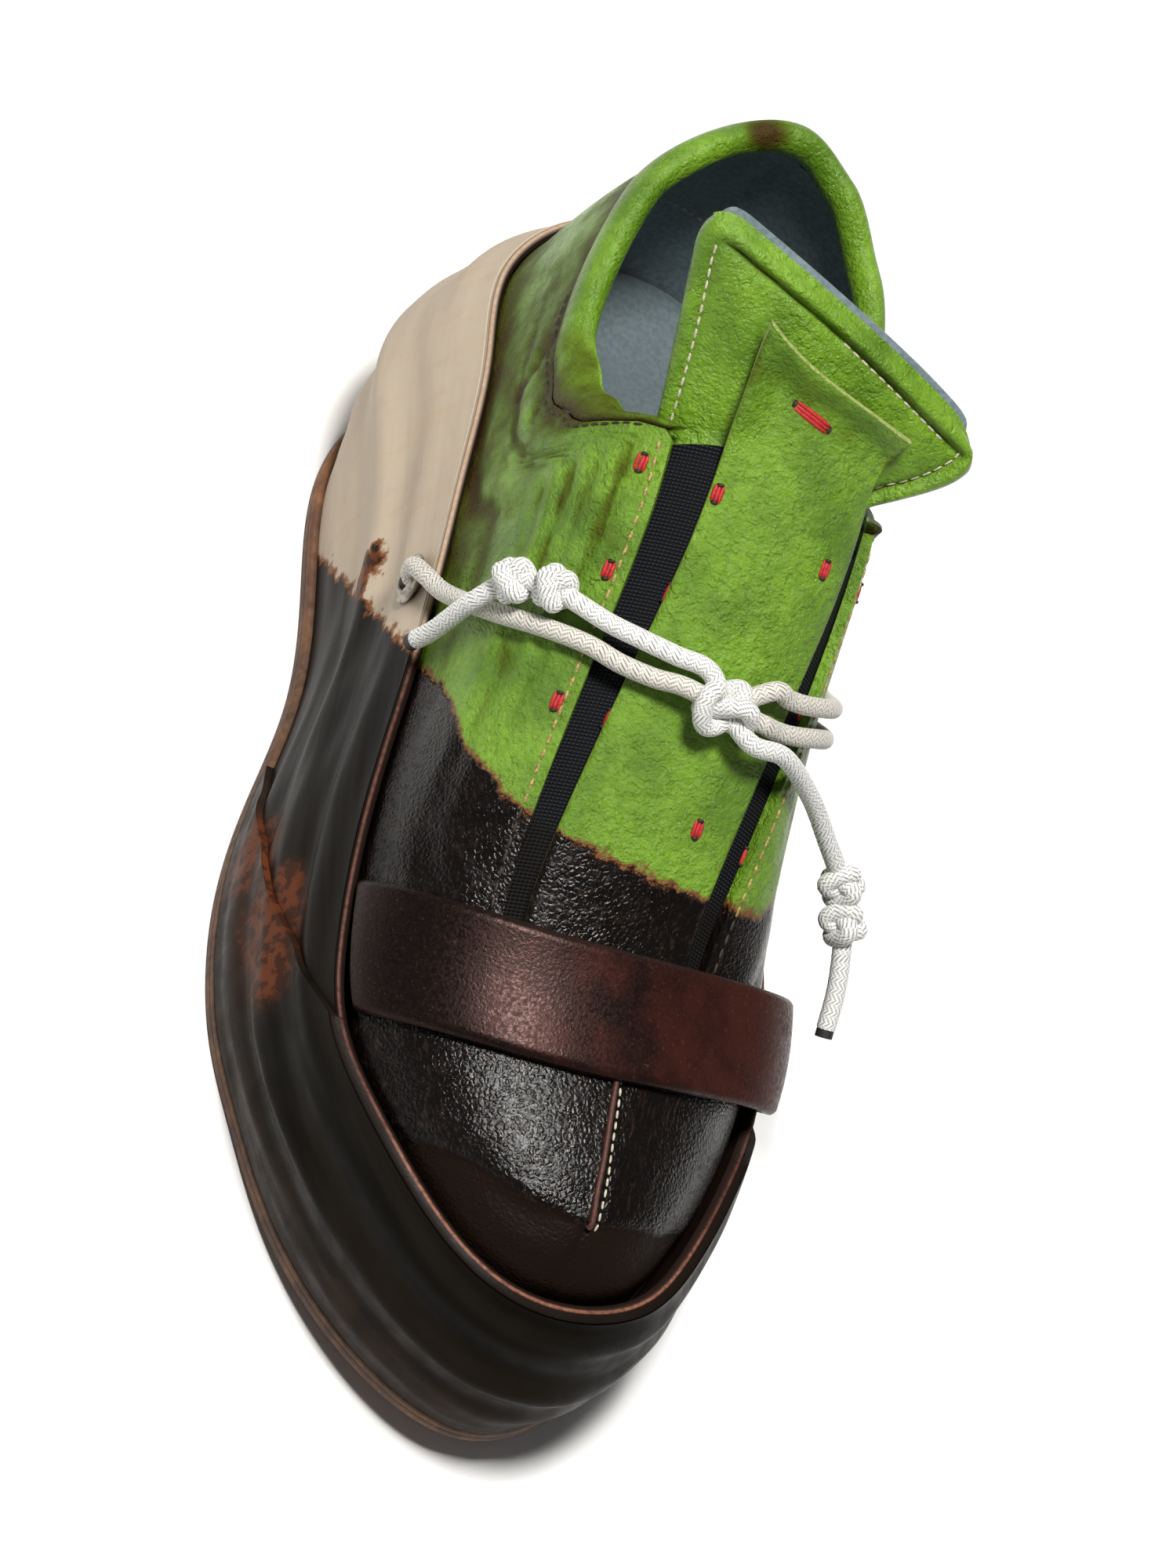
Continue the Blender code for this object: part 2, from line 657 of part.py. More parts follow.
def build_gore(name, sign):
    grids = []
    for lift in (-(WALL + GAP), -(WALL + GAP + GORE)):
        rows = []
        for station in np.linspace(8.2, THROAT_TOP + 0.1, 9):
            near = look_up(STRIP, station) - GORE_OVERLAP
            far = look_up(THROAT, station) + GORE_OVERLAP
            rows.append([on_upper(np.float64(station), sign * d, lift) for d in np.linspace(near, far, 4)])
        grids.append(np.array(rows))
    add_object(name, *slab(*grids), ELASTIC)


def build_throat():
    shares, face = tongue_face()
    normals = grid_normals(face)
    free = np.clip((np.arange(len(face)) - THROAT_ROWS + 1) / FREE_ROWS, 0, 1)
    depth = TONGUE + (TONGUE_FREE - TONGUE) * free
    add_object("tongue", *slab(face, face - depth[:, None, None] * normals), GREEN)
    build_strip(shares, face, normals)
    build_gore("elastic_gore_lateral", -1)
    build_gore("elastic_gore_medial", 1)


# Strap: where its two edges lie along Y at the lateral rim, the ridge and the medial end
STRAP_TOP = (-43.0, -54.0, -35.0)
STRAP_LOW = (-69.5, -78.0, -57.5)
STRAP_LIFT = 0.4
STRAP_STAND = 4.7  # how far its medial end stands off, outside the cover
STRAP_DROP = 5.0  # how far that end hangs below the rim
STRAP_STATIONS = np.linspace(6.5, 11.0, 19)


def through_three(values, share):
    lateral, middle, medial = values
    return middle + (medial - lateral) / 2 * share + ((medial + lateral) / 2 - middle) * share**2


def strap_spot(station, share):
    """A spot on the upper at a share of the way from the ridge to the strap's end."""
    side = np.float64(side_station(station, share))
    end = float(rim_z(side)) + (0.8 if share <= 0 else -STRAP_DROP)
    line = upper_point(side, np.linspace(1, rise_at_height(side, end), 60))
    length = np.sum(np.linalg.norm(np.diff(line, axis=0), axis=1))
    return side, rise_at_distance(side, abs(share) * length)


def strap_point(y, share, lift):
    """The station whose spot lies at y, lifted off the upper."""
    spots = [strap_spot(station, share) for station in STRAP_STATIONS]
    lengthwise = np.array([upper_point(side, rise)[1] for side, rise in spots])
    station = float(np.interp(-y, -lengthwise, STRAP_STATIONS))
    side, rise = strap_spot(station, share)
    stand = STRAP_STAND * min(1.0, max(0.0, (share - 0.45) / 0.40)) ** 1.5
    return upper_point(side, rise) + (lift + stand) * upper_normal(side, rise)


def build_strap():
    grids = []
    for lift in (STRAP_LIFT + STRAP, STRAP_LIFT):
        rows = []
        for share in np.linspace(-1, 1, 21):
            top, low = through_three(STRAP_TOP, share), through_three(STRAP_LOW, share)
            rows.append([strap_point(y, share, lift) for y in np.linspace(top, low, 5)])
        grids.append(np.array(rows))
    return add_object("vamp_strap", *slab(*grids), STRAP_BROWN)


# Lace: a braided cord from eyelet to eyelet, a knot over the strip and two free ends with twin knots.
# Each row of a route gives a station, the distance from the ridge, lateral negative, and the lift.
CORD = 3.9
KNOT_SWELL = 1.3
KNOT_REACH = 3.2
KNOT_MIDDLE = np.array([3.0, -14.17, 103.62])
KNOT_HALF = np.array([7.6, 5.4, 5.0])
KNOT_RINGS = 10
KNOT_SIDES = 16
LACE_BARS = {
    "lace_bar_lateral": [
        (4.90, -96.0, 10.2),
        (4.95, -91.5, 9.6),
        (5.06, -86.5, 6.2),
        (5.25, -79.5, 3.2),
        (5.51, -66.6, 2.4),
        (5.81, -50.4, 2.4),
        (6.01, -38.1, 2.4),
        (6.16, -28.0, 2.4),
        (6.28, -20.5, 2.6),
        (6.34, -13.5, 3.2),
        (6.35, -7.6, 4.8),
    ],
    "lace_bar_medial_front": [
        (6.38, 8.9, 5.0),
        (6.36, 13.0, 3.4),
        (6.30, 18.0, 2.6),
        (6.14, 26.1, 2.4),
        (5.90, 37.0, 2.4),
        (5.62, 49.0, 2.4),
        (5.36, 60.0, 2.4),
        (5.20, 68.0, 3.6),
        (5.12, 75.0, 6.4),
        (5.05, 80.5, 9.5),
        (5.05, 85.3, 10.0),
    ],
    "lace_bar_medial_back": [
        (6.16, 8.4, 4.6),
        (6.14, 13.0, 3.2),
        (6.08, 18.0, 2.6),
        (5.92, 26.1, 2.4),
        (5.68, 37.0, 2.4),
        (5.40, 49.0, 2.4),
        (5.12, 60.0, 2.4),
        (4.96, 68.0, 3.6),
        (4.88, 75.0, 6.4),
        (4.84, 79.5, 8.0),
    ],
}
LACE_ENDS = {
    "lace_end_lateral": [
        (6.21, -5.1, 5.8),
        (6.17, -12.0, 5.6),
        (6.11, -18.6, 5.0),
        (6.02, -25.6, 4.8),
        (5.88, -32.8, 5.0),
        (5.76, -38.4, 5.4),
        (5.66, -47.0, 6.9),
        (5.72, -54.5, 7.4),
        (5.74, -61.0, 6.6),
        (5.73, -68.0, 5.8),
        (5.70, -76.0, 6.2),
    ],
    "lace_end_medial": [
        (6.53, 7.7, 6.8),
        (6.47, 16.4, 5.2),
        (6.43, 31.3, 3.7),
        (6.47, 41.9, 7.4),
        (6.63, 49.4, 13.0),
        (6.86, 51.5, 14.7),
        (7.06, 53.2, 15.5),
        (7.28, 55.2, 15.6),
        (7.54, 57.3, 14.7),
    ],
}
KNOTTED = {"lace_end_lateral": (5, 6), "lace_end_medial": (4, 5)}  # rows of the route that carry a knot


def smooth_route(points, spacing):
    """Even points on a smooth curve through the route, with the length at each route point."""
    route = np.array(points, float)
    before = np.concatenate([2 * route[:1] - route[1:2], route[:-1]])
    after = np.concatenate([route[1:], 2 * route[-1:] - route[-2:-1]])
    slope = (after - before) / 2
    fine = []
    for i in range(len(route) - 1):
        for t in np.linspace(0, 1, 24, endpoint=False):
            a, b = 2 * t**3 - 3 * t**2 + 1, t**3 - 2 * t**2 + t
            c, d = 3 * t**2 - 2 * t**3, t**3 - t**2
            fine.append(a * route[i] + b * slope[i] + c * route[i + 1] + d * slope[i + 1])
    fine = np.array(fine + [route[-1]])
    along = np.concatenate([[0], np.cumsum(np.linalg.norm(np.diff(fine, axis=0), axis=1))])
    even = np.linspace(0, along[-1], max(2, round(along[-1] / spacing) + 1))
    points = np.stack([np.interp(even, along, fine[:, i]) for i in range(3)], -1)
    return points, even, along[::24]


def add_cord(name, rows, knots, spacing):
    route = [on_upper(np.float64(station), distance, lift) for station, distance, lift in rows]
    points, lengths, marks = smooth_route(route, spacing)
    curve = bpy.data.curves.new(name, "CURVE")
    curve.dimensions = "3D"
    curve.bevel_depth = CORD / 2 * MM
    curve.bevel_resolution = 2
    curve.use_fill_caps = True
    spline = curve.splines.new("POLY")
    spline.points.add(len(points) - 1)
    for spot, point, length in zip(spline.points, points, lengths):
        spot.co = (*(point * MM), 1.0)
        swell = sum(math.exp(-(((length - marks[k]) / KNOT_REACH) ** 2)) for k in knots)
        spot.radius = 1.0 + KNOT_SWELL * swell
    curve.materials.append(material_of(name, WHITE, 0.8))
    bpy.context.scene.collection.objects.link(bpy.data.objects.new(name, curve))


def build_lace():
    for name, route in LACE_BARS.items():
        add_cord(name, route, (), 2.2 * CORD)
    for name, route in LACE_ENDS.items():
        add_cord(name, route, KNOTTED[name], 0.8 * CORD)
    turn = 2 * math.pi * np.arange(KNOT_SIDES) / KNOT_SIDES
    rings = []
    for angle in math.pi * np.arange(1, KNOT_RINGS) / KNOT_RINGS:
        reach = math.sin(angle)
        circle = np.stack([0 * turn - math.cos(angle), reach * np.cos(turn), reach * np.sin(turn)], -1)
        rings.append(KNOT_MIDDLE + KNOT_HALF * circle)
    add_object("lace_knot", *stacked(rings), WHITE, 0.8)


def clear_scene():
    for item in list(bpy.data.objects):
        bpy.data.objects.remove(item, do_unlink=True)


clear_scene()
build_sole()
build_upper()
build_collar()
build_throat()
build_strap()
build_lace()
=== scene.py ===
"""Looks of the platform slip-on shoe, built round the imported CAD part.

Sizes are in millimetres in the part's own frame: +X is the inner (medial) side, the toe points to -Y,
+Z is up and the shoe stands on Z = 0. The surfaces come from the same tables as the solids, with more
points, and carry the creases, seams, stitches and colours that the solids leave out.
"""

import math

import bmesh
import bpy
import numpy as np
from mathutils import Matrix, Vector
from mathutils.bvhtree import BVHTree


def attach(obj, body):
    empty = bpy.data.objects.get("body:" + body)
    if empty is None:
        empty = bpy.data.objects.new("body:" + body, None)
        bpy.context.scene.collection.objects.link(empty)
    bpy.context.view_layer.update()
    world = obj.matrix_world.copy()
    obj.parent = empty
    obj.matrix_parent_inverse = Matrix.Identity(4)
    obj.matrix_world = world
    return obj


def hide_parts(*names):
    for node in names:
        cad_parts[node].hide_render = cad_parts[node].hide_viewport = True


MM = 0.001
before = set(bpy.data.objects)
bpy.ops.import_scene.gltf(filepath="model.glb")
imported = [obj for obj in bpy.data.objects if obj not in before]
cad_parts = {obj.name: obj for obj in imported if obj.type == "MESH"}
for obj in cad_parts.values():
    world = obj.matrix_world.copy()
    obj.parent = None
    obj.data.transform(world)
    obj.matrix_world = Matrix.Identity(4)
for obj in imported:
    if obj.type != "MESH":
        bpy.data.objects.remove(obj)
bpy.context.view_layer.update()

# Leather, board and clearances, as in the part's source
WALL = 2.2
COVER = 2.2
GAP = 0.3
TUCK = 0.5
RIM_DEPTH = 12.0
OUTSOLE = 4.0
WELT = 1.6
TOE_SPRING = 7.0
SPRING_START = -66.0
SPRING_END = -130.0
INSOLE = 2.6
INSOLE_CLEAR = 0.5
PLATFORM_STEP = 1.6
SEAM_FOOT_Y = 5.5
SEAM_SLOPE = 0.5
SEAM_GAP = 0.12
GROOVES = 3
GROOVE_DEPTH = 0.8
THROAT_TOP = 14 / 3
THROAT_END = 25 / 3
FREE_EDGE = 20.0
FREE_EDGE_FALL = 0.6
TOE_FALL = 0.22
GORE = 1.0
TONGUE = 4.6
TONGUE_FREE = 6.0
STRAP = 2.7
SMALL = 1e-6
SHARP = 42  # degrees past which an edge is shaded sharp
SOFT = 60  # the same on braids and on the tongue

# Stations run from the back of the heel to the tip of the toe. Each row gives the top edge of the sole's
# covers on both sides, and the ridge of the last above it with the way the surface leaves the ridge.
STATION = ("name", "lat_x", "lat_y", "med_x", "med_y", "rim_z")
STATION += ("ridge_x", "ridge_y", "ridge_z", "turn", "low", "high", "lean")
STATIONS = [
    ("heel_back", 0.0, 123.5, 0.0, 123.5, 63.0, 0.0, 90.0, 150.0, -90, 0.55, 0.75, 0.05),
    ("heel_corner", -21.0, 118.0, 18.5, 117.5, 63.0, 0.0, 86.0, 150.0, -58, 0.55, 0.64, 0.03),
    ("heel_side", -35.5, 99.5, 30.5, 98.5, 62.5, 0.0, 82.0, 149.0, -24, 0.57, 0.74, 0.02),
    ("counter", -38.2, 74.0, 33.5, 73.0, 65.0, 0.5, 70.0, 146.0, 0, 0.60, 0.88, 0.07),
    ("waist", -40.0, 48.0, 35.5, 47.0, 63.0, 3.0, 49.0, 138.0, 0, 0.62, 0.90, 0.06),
    ("shank", -41.3, 22.5, 37.0, 21.5, 58.8, 5.5, 24.0, 123.0, 0, 0.68, 0.85, 0.03),
    ("instep", -43.5, -3.0, 40.0, -4.5, 54.0, 3.6, -1.0, 106.0, 0, 0.64, 0.74, 0.02),
    ("ball_back", -46.0, -28.5, 45.0, -30.5, 49.5, 0.6, -27.0, 88.5, 0, 0.60, 0.64, 0.05),
    ("ball", -46.0, -53.5, 49.0, -56.0, 45.0, -0.4, -53.0, 72.0, 0, 0.58, 0.60, 0.06),
    ("joint", -42.5, -73.0, 45.5, -78.0, 42.5, 4.0, -73.0, 64.5, 0, 0.60, 0.60, 0.06),
    ("toe_corner", -32.0, -91.5, 37.5, -98.0, 43.5, 6.5, -88.5, 61.5, 40, 0.62, 0.60, 0.05),
    ("toe_front", -14.5, -112.0, 26.0, -113.5, 45.0, 7.5, -97.5, 59.3, 68, 0.64, 0.60, 0.04),
    ("toe_tip", 6.0, -120.0, 6.0, -120.0, 45.5, 7.5, -100.5, 58.5, 90, 0.64, 0.60, 0.04),
]
# The sole's lower outline at the same stations, with how far the covered wall bellies out between the two.
SOLE = ("lat_x", "lat_y", "med_x", "med_y", "belly")
SOLE_ROWS = [
    (0.0, 112.0, 0.0, 112.0, 8.0),
    (-21.5, 107.5, 20.0, 107.0, 8.5),
    (-37.5, 91.5, 34.0, 90.5, 8.0),
    (-43.0, 71.0, 38.0, 70.0, 5.0),
    (-42.0, 47.5, 36.5, 46.5, 3.0),
    (-42.6, 22.5, 37.0, 21.5, 2.5),
    (-48.5, -3.5, 42.5, -4.5, 2.5),
    (-52.6, -30.0, 48.5, -30.5, 2.5),
    (-50.5, -56.0, 51.0, -58.0, 2.5),
    (-43.5, -76.0, 46.5, -81.0, 3.0),
    (-33.5, -98.0, 38.5, -102.0, 3.5),
    (-17.0, -119.0, 25.5, -120.5, 4.0),
    (5.5, -130.5, 5.5, -130.5, 4.0),
]
# By station: the collar's crest, the height of its roll, half the throat's width and half the strip's.
CREST = [(0.0, 121.5), (1.0, 118.5), (2.0, 112.5), (3.5, 102.0), (4.0, 104.5)]
COLLAR = {
    "lateral": CREST + [(4.35, 111.0), (4.67, 123.0)],
    "medial": CREST + [(4.35, 109.0), (4.67, 116.5)],
}
ROLL = [(0.0, 8.5), (3.3, 8.5), (4.0, 10.0), (4.35, 9.5), (4.67, 3.5)]
THROAT = [(4.6, 29.0), (6.0, 26.5), (7.0, 24.5), (8.4, 21.5)]
STRIP = [(4.6, 18.0), (8.4, 18.0)]
# How far the tongue reaches under each quarter, by station
UNDERLAP = {
    "lateral": [(4.6, 9.0), (5.2, 5.0), (5.7, 4.0)],
    "medial": [(4.6, -1.0), (5.2, 2.0), (5.7, 4.0)],
}
# Dip dye: where y + z falls below this level at each x, the leather is dark
DYE_EDGE = [(-45.0, 63.5), (-39.5, 59.0), (-36.5, 50.3), (-33.0, 47.0), (-26.0, 41.8), (-17.0, 40.0)]
DYE_EDGE += [(0.0, 38.3), (17.0, 36.8), (32.0, 36.4), (38.0, 46.0), (42.0, 57.0), (48.0, 61.0)]

LAST = len(STATIONS) - 1
TURNS = 2 * LAST
FINE = 12  # columns between two stations
ROUND = np.arange(TURNS * FINE) / FINE
RISES = np.linspace(1, 0, 121)


# Surfaces of the last and the sole


def closed_spline(values):
    """Smooth closed curve through values at whole-number stations."""
    points = np.asarray(values, float)
    count = len(points)
    unit = np.eye(count)
    system = 4 * unit + np.roll(unit, 1, 0) + np.roll(unit, -1, 0)
    bend = np.linalg.solve(system, 6 * (np.roll(points, 1, 0) - 2 * points + np.roll(points, -1, 0)))

    def at(station):
        station = np.asarray(station, float)
        whole = np.floor(station).astype(int)
        t = station - whole
        i, j = whole % count, (whole + 1) % count
        s = 1 - t
        return s * points[i] + t * points[j] + ((s**3 - s) * bend[i] + (t**3 - t) * bend[j]) / 6

    return at


def column(rows, names, name):
    return np.array([row[names.index(name)] for row in rows], float)


def there_and_back(out, back):
    """One round of values: heel to toe on the lateral side, then back along the medial side."""
    return closed_spline(np.concatenate([out, back[-2:0:-1]]))


def last_curve(lateral, medial=None):
    out = column(STATIONS, STATION, lateral)
    return there_and_back(out, column(STATIONS, STATION, medial or lateral))


def sole_curve(lateral, medial):
    return there_and_back(column(SOLE_ROWS, SOLE, lateral), column(SOLE_ROWS, SOLE, medial))


TURN = np.radians(column(STATIONS, STATION, "turn"))
rim_x = last_curve("lat_x", "med_x")
rim_y = last_curve("lat_y", "med_y")
rim_z = last_curve("rim_z")
ridge_x = last_curve("ridge_x")
ridge_y = last_curve("ridge_y")
ridge_z = last_curve("ridge_z")
low_fullness = last_curve("low")
high_fullness = last_curve("high")
lean_out = last_curve("lean")
sole_x = sole_curve("lat_x", "med_x")
sole_y = sole_curve("lat_y", "med_y")
sole_belly = sole_curve("belly", "belly")
leave_x = there_and_back(-np.cos(TURN), np.cos(TURN))
leave_y = there_and_back(-np.sin(TURN), -np.sin(TURN))


def folded(station):
    """The station from heel to toe of a place counted once round the shoe."""
    return np.minimum(station, TURNS - station)


def outward(x_of, y_of, station):
    """Outward normal in plan of a closed outline."""
    step = 0.02
    dx = x_of(station + step) - x_of(station - step)
    dy = y_of(station + step) - y_of(station - step)
    size = np.hypot(dx, dy)
    return dy / size, -dx / size


def outline(x_of, y_of, station, grow):
    nx, ny = outward(x_of, y_of, station)
    return x_of(station) + grow * nx, y_of(station) + grow * ny


def unit_of(vectors):
    return vectors / np.linalg.norm(vectors, axis=-1, keepdims=True)


def floor_height(y):
    """Underside of the outsole: flat, then the toe spring."""
    reach = np.clip((SPRING_START - y) / (SPRING_START - SPRING_END), 0, None)
    return TOE_SPRING * reach**2


def upper_point(station, rise):
    """Outer face of the upper: rise runs from the lasted edge (0) to the ridge (1)."""
    station, rise = np.broadcast_arrays(np.asarray(station, float), np.asarray(rise, float))
    foot_x, foot_y = outline(rim_x, rim_y, station, -(COVER + GAP + TUCK))
    foot_z = rim_z(station) - RIM_DEPTH
    nx, ny = outward(rim_x, rim_y, station)
    top = np.stack([ridge_x(station), ridge_y(station), ridge_z(station)], -1)
    foot = np.stack([foot_x, foot_y, foot_z], -1)
    climb = low_fullness(station) * (top[..., 2] - foot_z)
    lean = lean_out(station) * climb
    low = foot + np.stack([lean * nx, lean * ny, climb], -1)
    reach = high_fullness(station) * np.hypot(foot_x - top[..., 0], foot_y - top[..., 1])
    side, ahead = leave_x(station), leave_y(station)
    high = top + np.stack([reach * side, reach * ahead, TOE_FALL * reach * np.minimum(ahead, 0)], -1)
    t = rise[..., None]
    s = 1 - t
    return s**3 * foot + 3 * s**2 * t * low + 3 * s * t**2 * high + t**3 * top


def upper_normal(station, rise):
    step, near_ridge = 0.01, 0.985
    rise = np.clip(rise, 0.0, near_ridge)
    along = upper_point(station + step, rise) - upper_point(station - step, rise)
    climb = upper_point(station, rise + step) - upper_point(station, np.maximum(rise - step, 0))
    return unit_of(np.cross(along, climb))


def rise_at_distance(station, distance):
    """Rise at a distance along the section from the ridge."""
    return np.interp(distance, lengths_along(upper_point(station, RISES), 0), RISES)


def rise_at_height(station, height):
    line = upper_point(station, RISES)
    return float(np.interp(-height, -line[:, 2], RISES))


def across(station, distances, lift=0.0):
    """Points of one section at signed distances from the ridge, lateral negative, lifted off the face."""
    distances = np.asarray(distances, float)
    lifts = np.broadcast_to(lift, distances.shape)
    points = np.empty(distances.shape + (3,))
    for side, chosen in ((station, distances <= 0), (TURNS - station, distances > 0)):
        if chosen.any():
            rise = rise_at_distance(side, np.abs(distances[chosen]))
            points[chosen] = upper_point(side, rise) + lifts[chosen, None] * upper_normal(side, rise)
    return points


def look_up(table, station):
    rows = np.array(table)
    return np.interp(station, rows[:, 0], rows[:, 1])


def smooth_look_up(table, station):
    """Cosine-eased reading of a short table."""
    for (a, low), (b, high) in zip(table, table[1:]):
        if station <= b:
            t = max(0.0, (station - a) / (b - a))
            return low + (high - low) * (0.5 - 0.5 * math.cos(math.pi * t))
    return table[-1][1]


def edge_rise(round_station):
    """Top of the quarters at one column: the collar seam, the throat's edge or a line over the vamp."""
    station = folded(round_station)
    if station <= THROAT_TOP + SMALL:
        crest = smooth_look_up(COLLAR["lateral" if round_station < LAST else "medial"], station)
        return rise_at_height(round_station, crest - look_up(ROLL, station))
    if station <= THROAT_END + SMALL:
        return float(rise_at_distance(round_station, look_up(THROAT, station)))
    share = (station - THROAT_END) / (LAST - THROAT_END)
    return float(rise_at_distance(round_station, FREE_EDGE * (1 - FREE_EDGE_FALL * share)))


def lengths_along(grid, axis):
    """Running length along one axis of a grid of points."""
    steps = np.linalg.norm(np.diff(grid, axis=axis), axis=-1)
    zero = np.zeros_like(np.take(steps, [0], axis))
    return np.concatenate([zero, np.cumsum(steps, axis)], axis)


def ease(value, low, high):
    """Smooth step from 0 at low to 1 at high."""
    t = np.clip((value - low) / (high - low), 0, 1)
    return t * t * (3 - 2 * t)


def bell(distance, width):
    """1 on a line or at a spot, falling off over about this width."""
    return np.exp(-((distance / width) ** 2))


def half_round(distance, width):
    """Section of a roll of this width: 1 on its crown, 0 at both edges."""
    return np.sqrt(np.clip(1 - ((distance - width / 2) / (width / 2)) ** 2, 0, 1))


def ripple(position, pitch, seed):
    """A smooth uneven wave between about -1 and 1."""
    phase = 2 * np.pi * np.asarray(position) / pitch
    waves = np.sin(phase + seed) + 0.6 * np.sin(0.43 * phase + 2.1 * seed)
    return (waves + 0.4 * np.sin(1.71 * phase + 3.7 * seed)) / 1.6


def apart(points, spot):
    return np.linalg.norm(points - np.asarray(spot), axis=1)


def twice(grid):
    """One value a point for both faces of a sheet."""
    return np.tile(grid.ravel(), 2)


def closer_at_ends(count):
    """Steps from -1 to 1, drawn closer together at both ends."""
    t = np.linspace(-1, 1, count)
    return t * (1.3 - 0.3 * t * t)


def dye_depth(points):
    """How far a point lies inside the dyed front, in millimetres."""
    points = np.asarray(points)
    return (look_up(DYE_EDGE, points[..., 0]) - points[..., 1] - points[..., 2]) / math.sqrt(2)


# Building meshes


def grid_faces(rows, columns, closed=False):
    faces = []
    for r in range(rows - 1):
        for c in range(columns if closed else columns - 1):
            a = r * columns + c
            b = r * columns + (c + 1) % columns
            faces.append((a, b, b + columns, a + columns))
    return faces


def slab(outer, inner):
    """A closed sheet from two grids of points: points, faces and each face's kind (0 out, 1 in, 2 edge)."""
    rows, columns = outer.shape[:2]
    back = rows * columns
    points = np.concatenate([outer.reshape(-1, 3), inner.reshape(-1, 3)])
    front_faces = grid_faces(rows, columns)
    faces = front_faces + [tuple(back + i for i in reversed(face)) for face in front_faces]
    kinds = [0] * len(front_faces) + [1] * len(front_faces)
    edge = list(range(columns))
    edge += [r * columns + columns - 1 for r in range(1, rows)]
    edge += [(rows - 1) * columns + c for c in range(columns - 2, -1, -1)]
    edge += [r * columns for r in range(rows - 2, 0, -1)]
    for a, b in zip(edge, edge[1:] + edge[:1]):
        faces.append((a, b, back + b, back + a))
        kinds.append(2)
    return points, faces, kinds


def ladder(first, count):
    """Closes a ring of columns across the shoe, lateral column to medial column."""
    half = count // 2
    faces = [(first, first + 1, first + count - 1)]
    for i in range(1, half - 1):
        faces.append((first + i, first + i + 1, first + count - i - 1, first + count - i))
    faces.append((first + half - 1, first + half, first + half + 1))
    return faces


def stacked(rings):
    """Rings joined one above another, with both ends closed."""
    count = len(rings[0])
    faces = grid_faces(len(rings), count, closed=True)
    return np.concatenate(rings), faces + ladder(0, count) + ladder((len(rings) - 1) * count, count)


def grid_normals(grid):
    return unit_of(np.cross(np.gradient(grid, axis=1), np.gradient(grid, axis=0)))


def add_object(name, data):
    made = bpy.data.objects.new(name, data)
    bpy.context.scene.collection.objects.link(made)
    return made


def add_piece(name, points, faces, materials, nodes=(), slot=None, kinds=None, values=None, crease=SHARP):
    """A mesh piece in metres on the shoe's body, its faces turned outward, with values for its materials."""
    mesh = bpy.data.meshes.new(name)
    mesh.from_pydata((np.asarray(points) * MM).tolist(), [], [list(map(int, face)) for face in faces])
    if kinds is not None:
        mesh.polygons.foreach_set("material_index", np.asarray(kinds, np.int32))
    work = bmesh.new()
    work.from_mesh(mesh)
    bmesh.ops.recalc_face_normals(work, faces=work.faces)
    work.to_mesh(mesh)
    work.free()
    for key, data in (values or {}).items():
        data = np.asarray(data, np.float32)
        if data.ndim == 1:
            mesh.attributes.new(key, "FLOAT", "POINT").data.foreach_set("value", data)
        else:
            mesh.attributes.new(key, "FLOAT_VECTOR", "POINT").data.foreach_set("vector", data.ravel())
    for material in materials:
        mesh.materials.append(material)
    mesh.polygons.foreach_set("use_smooth", np.ones(len(mesh.polygons), bool))
    mesh.set_sharp_from_angle(angle=math.radians(crease))
    piece = add_object(name, mesh)
    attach(piece, "root")
    if nodes:
        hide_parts(*nodes)
    return piece


# Materials


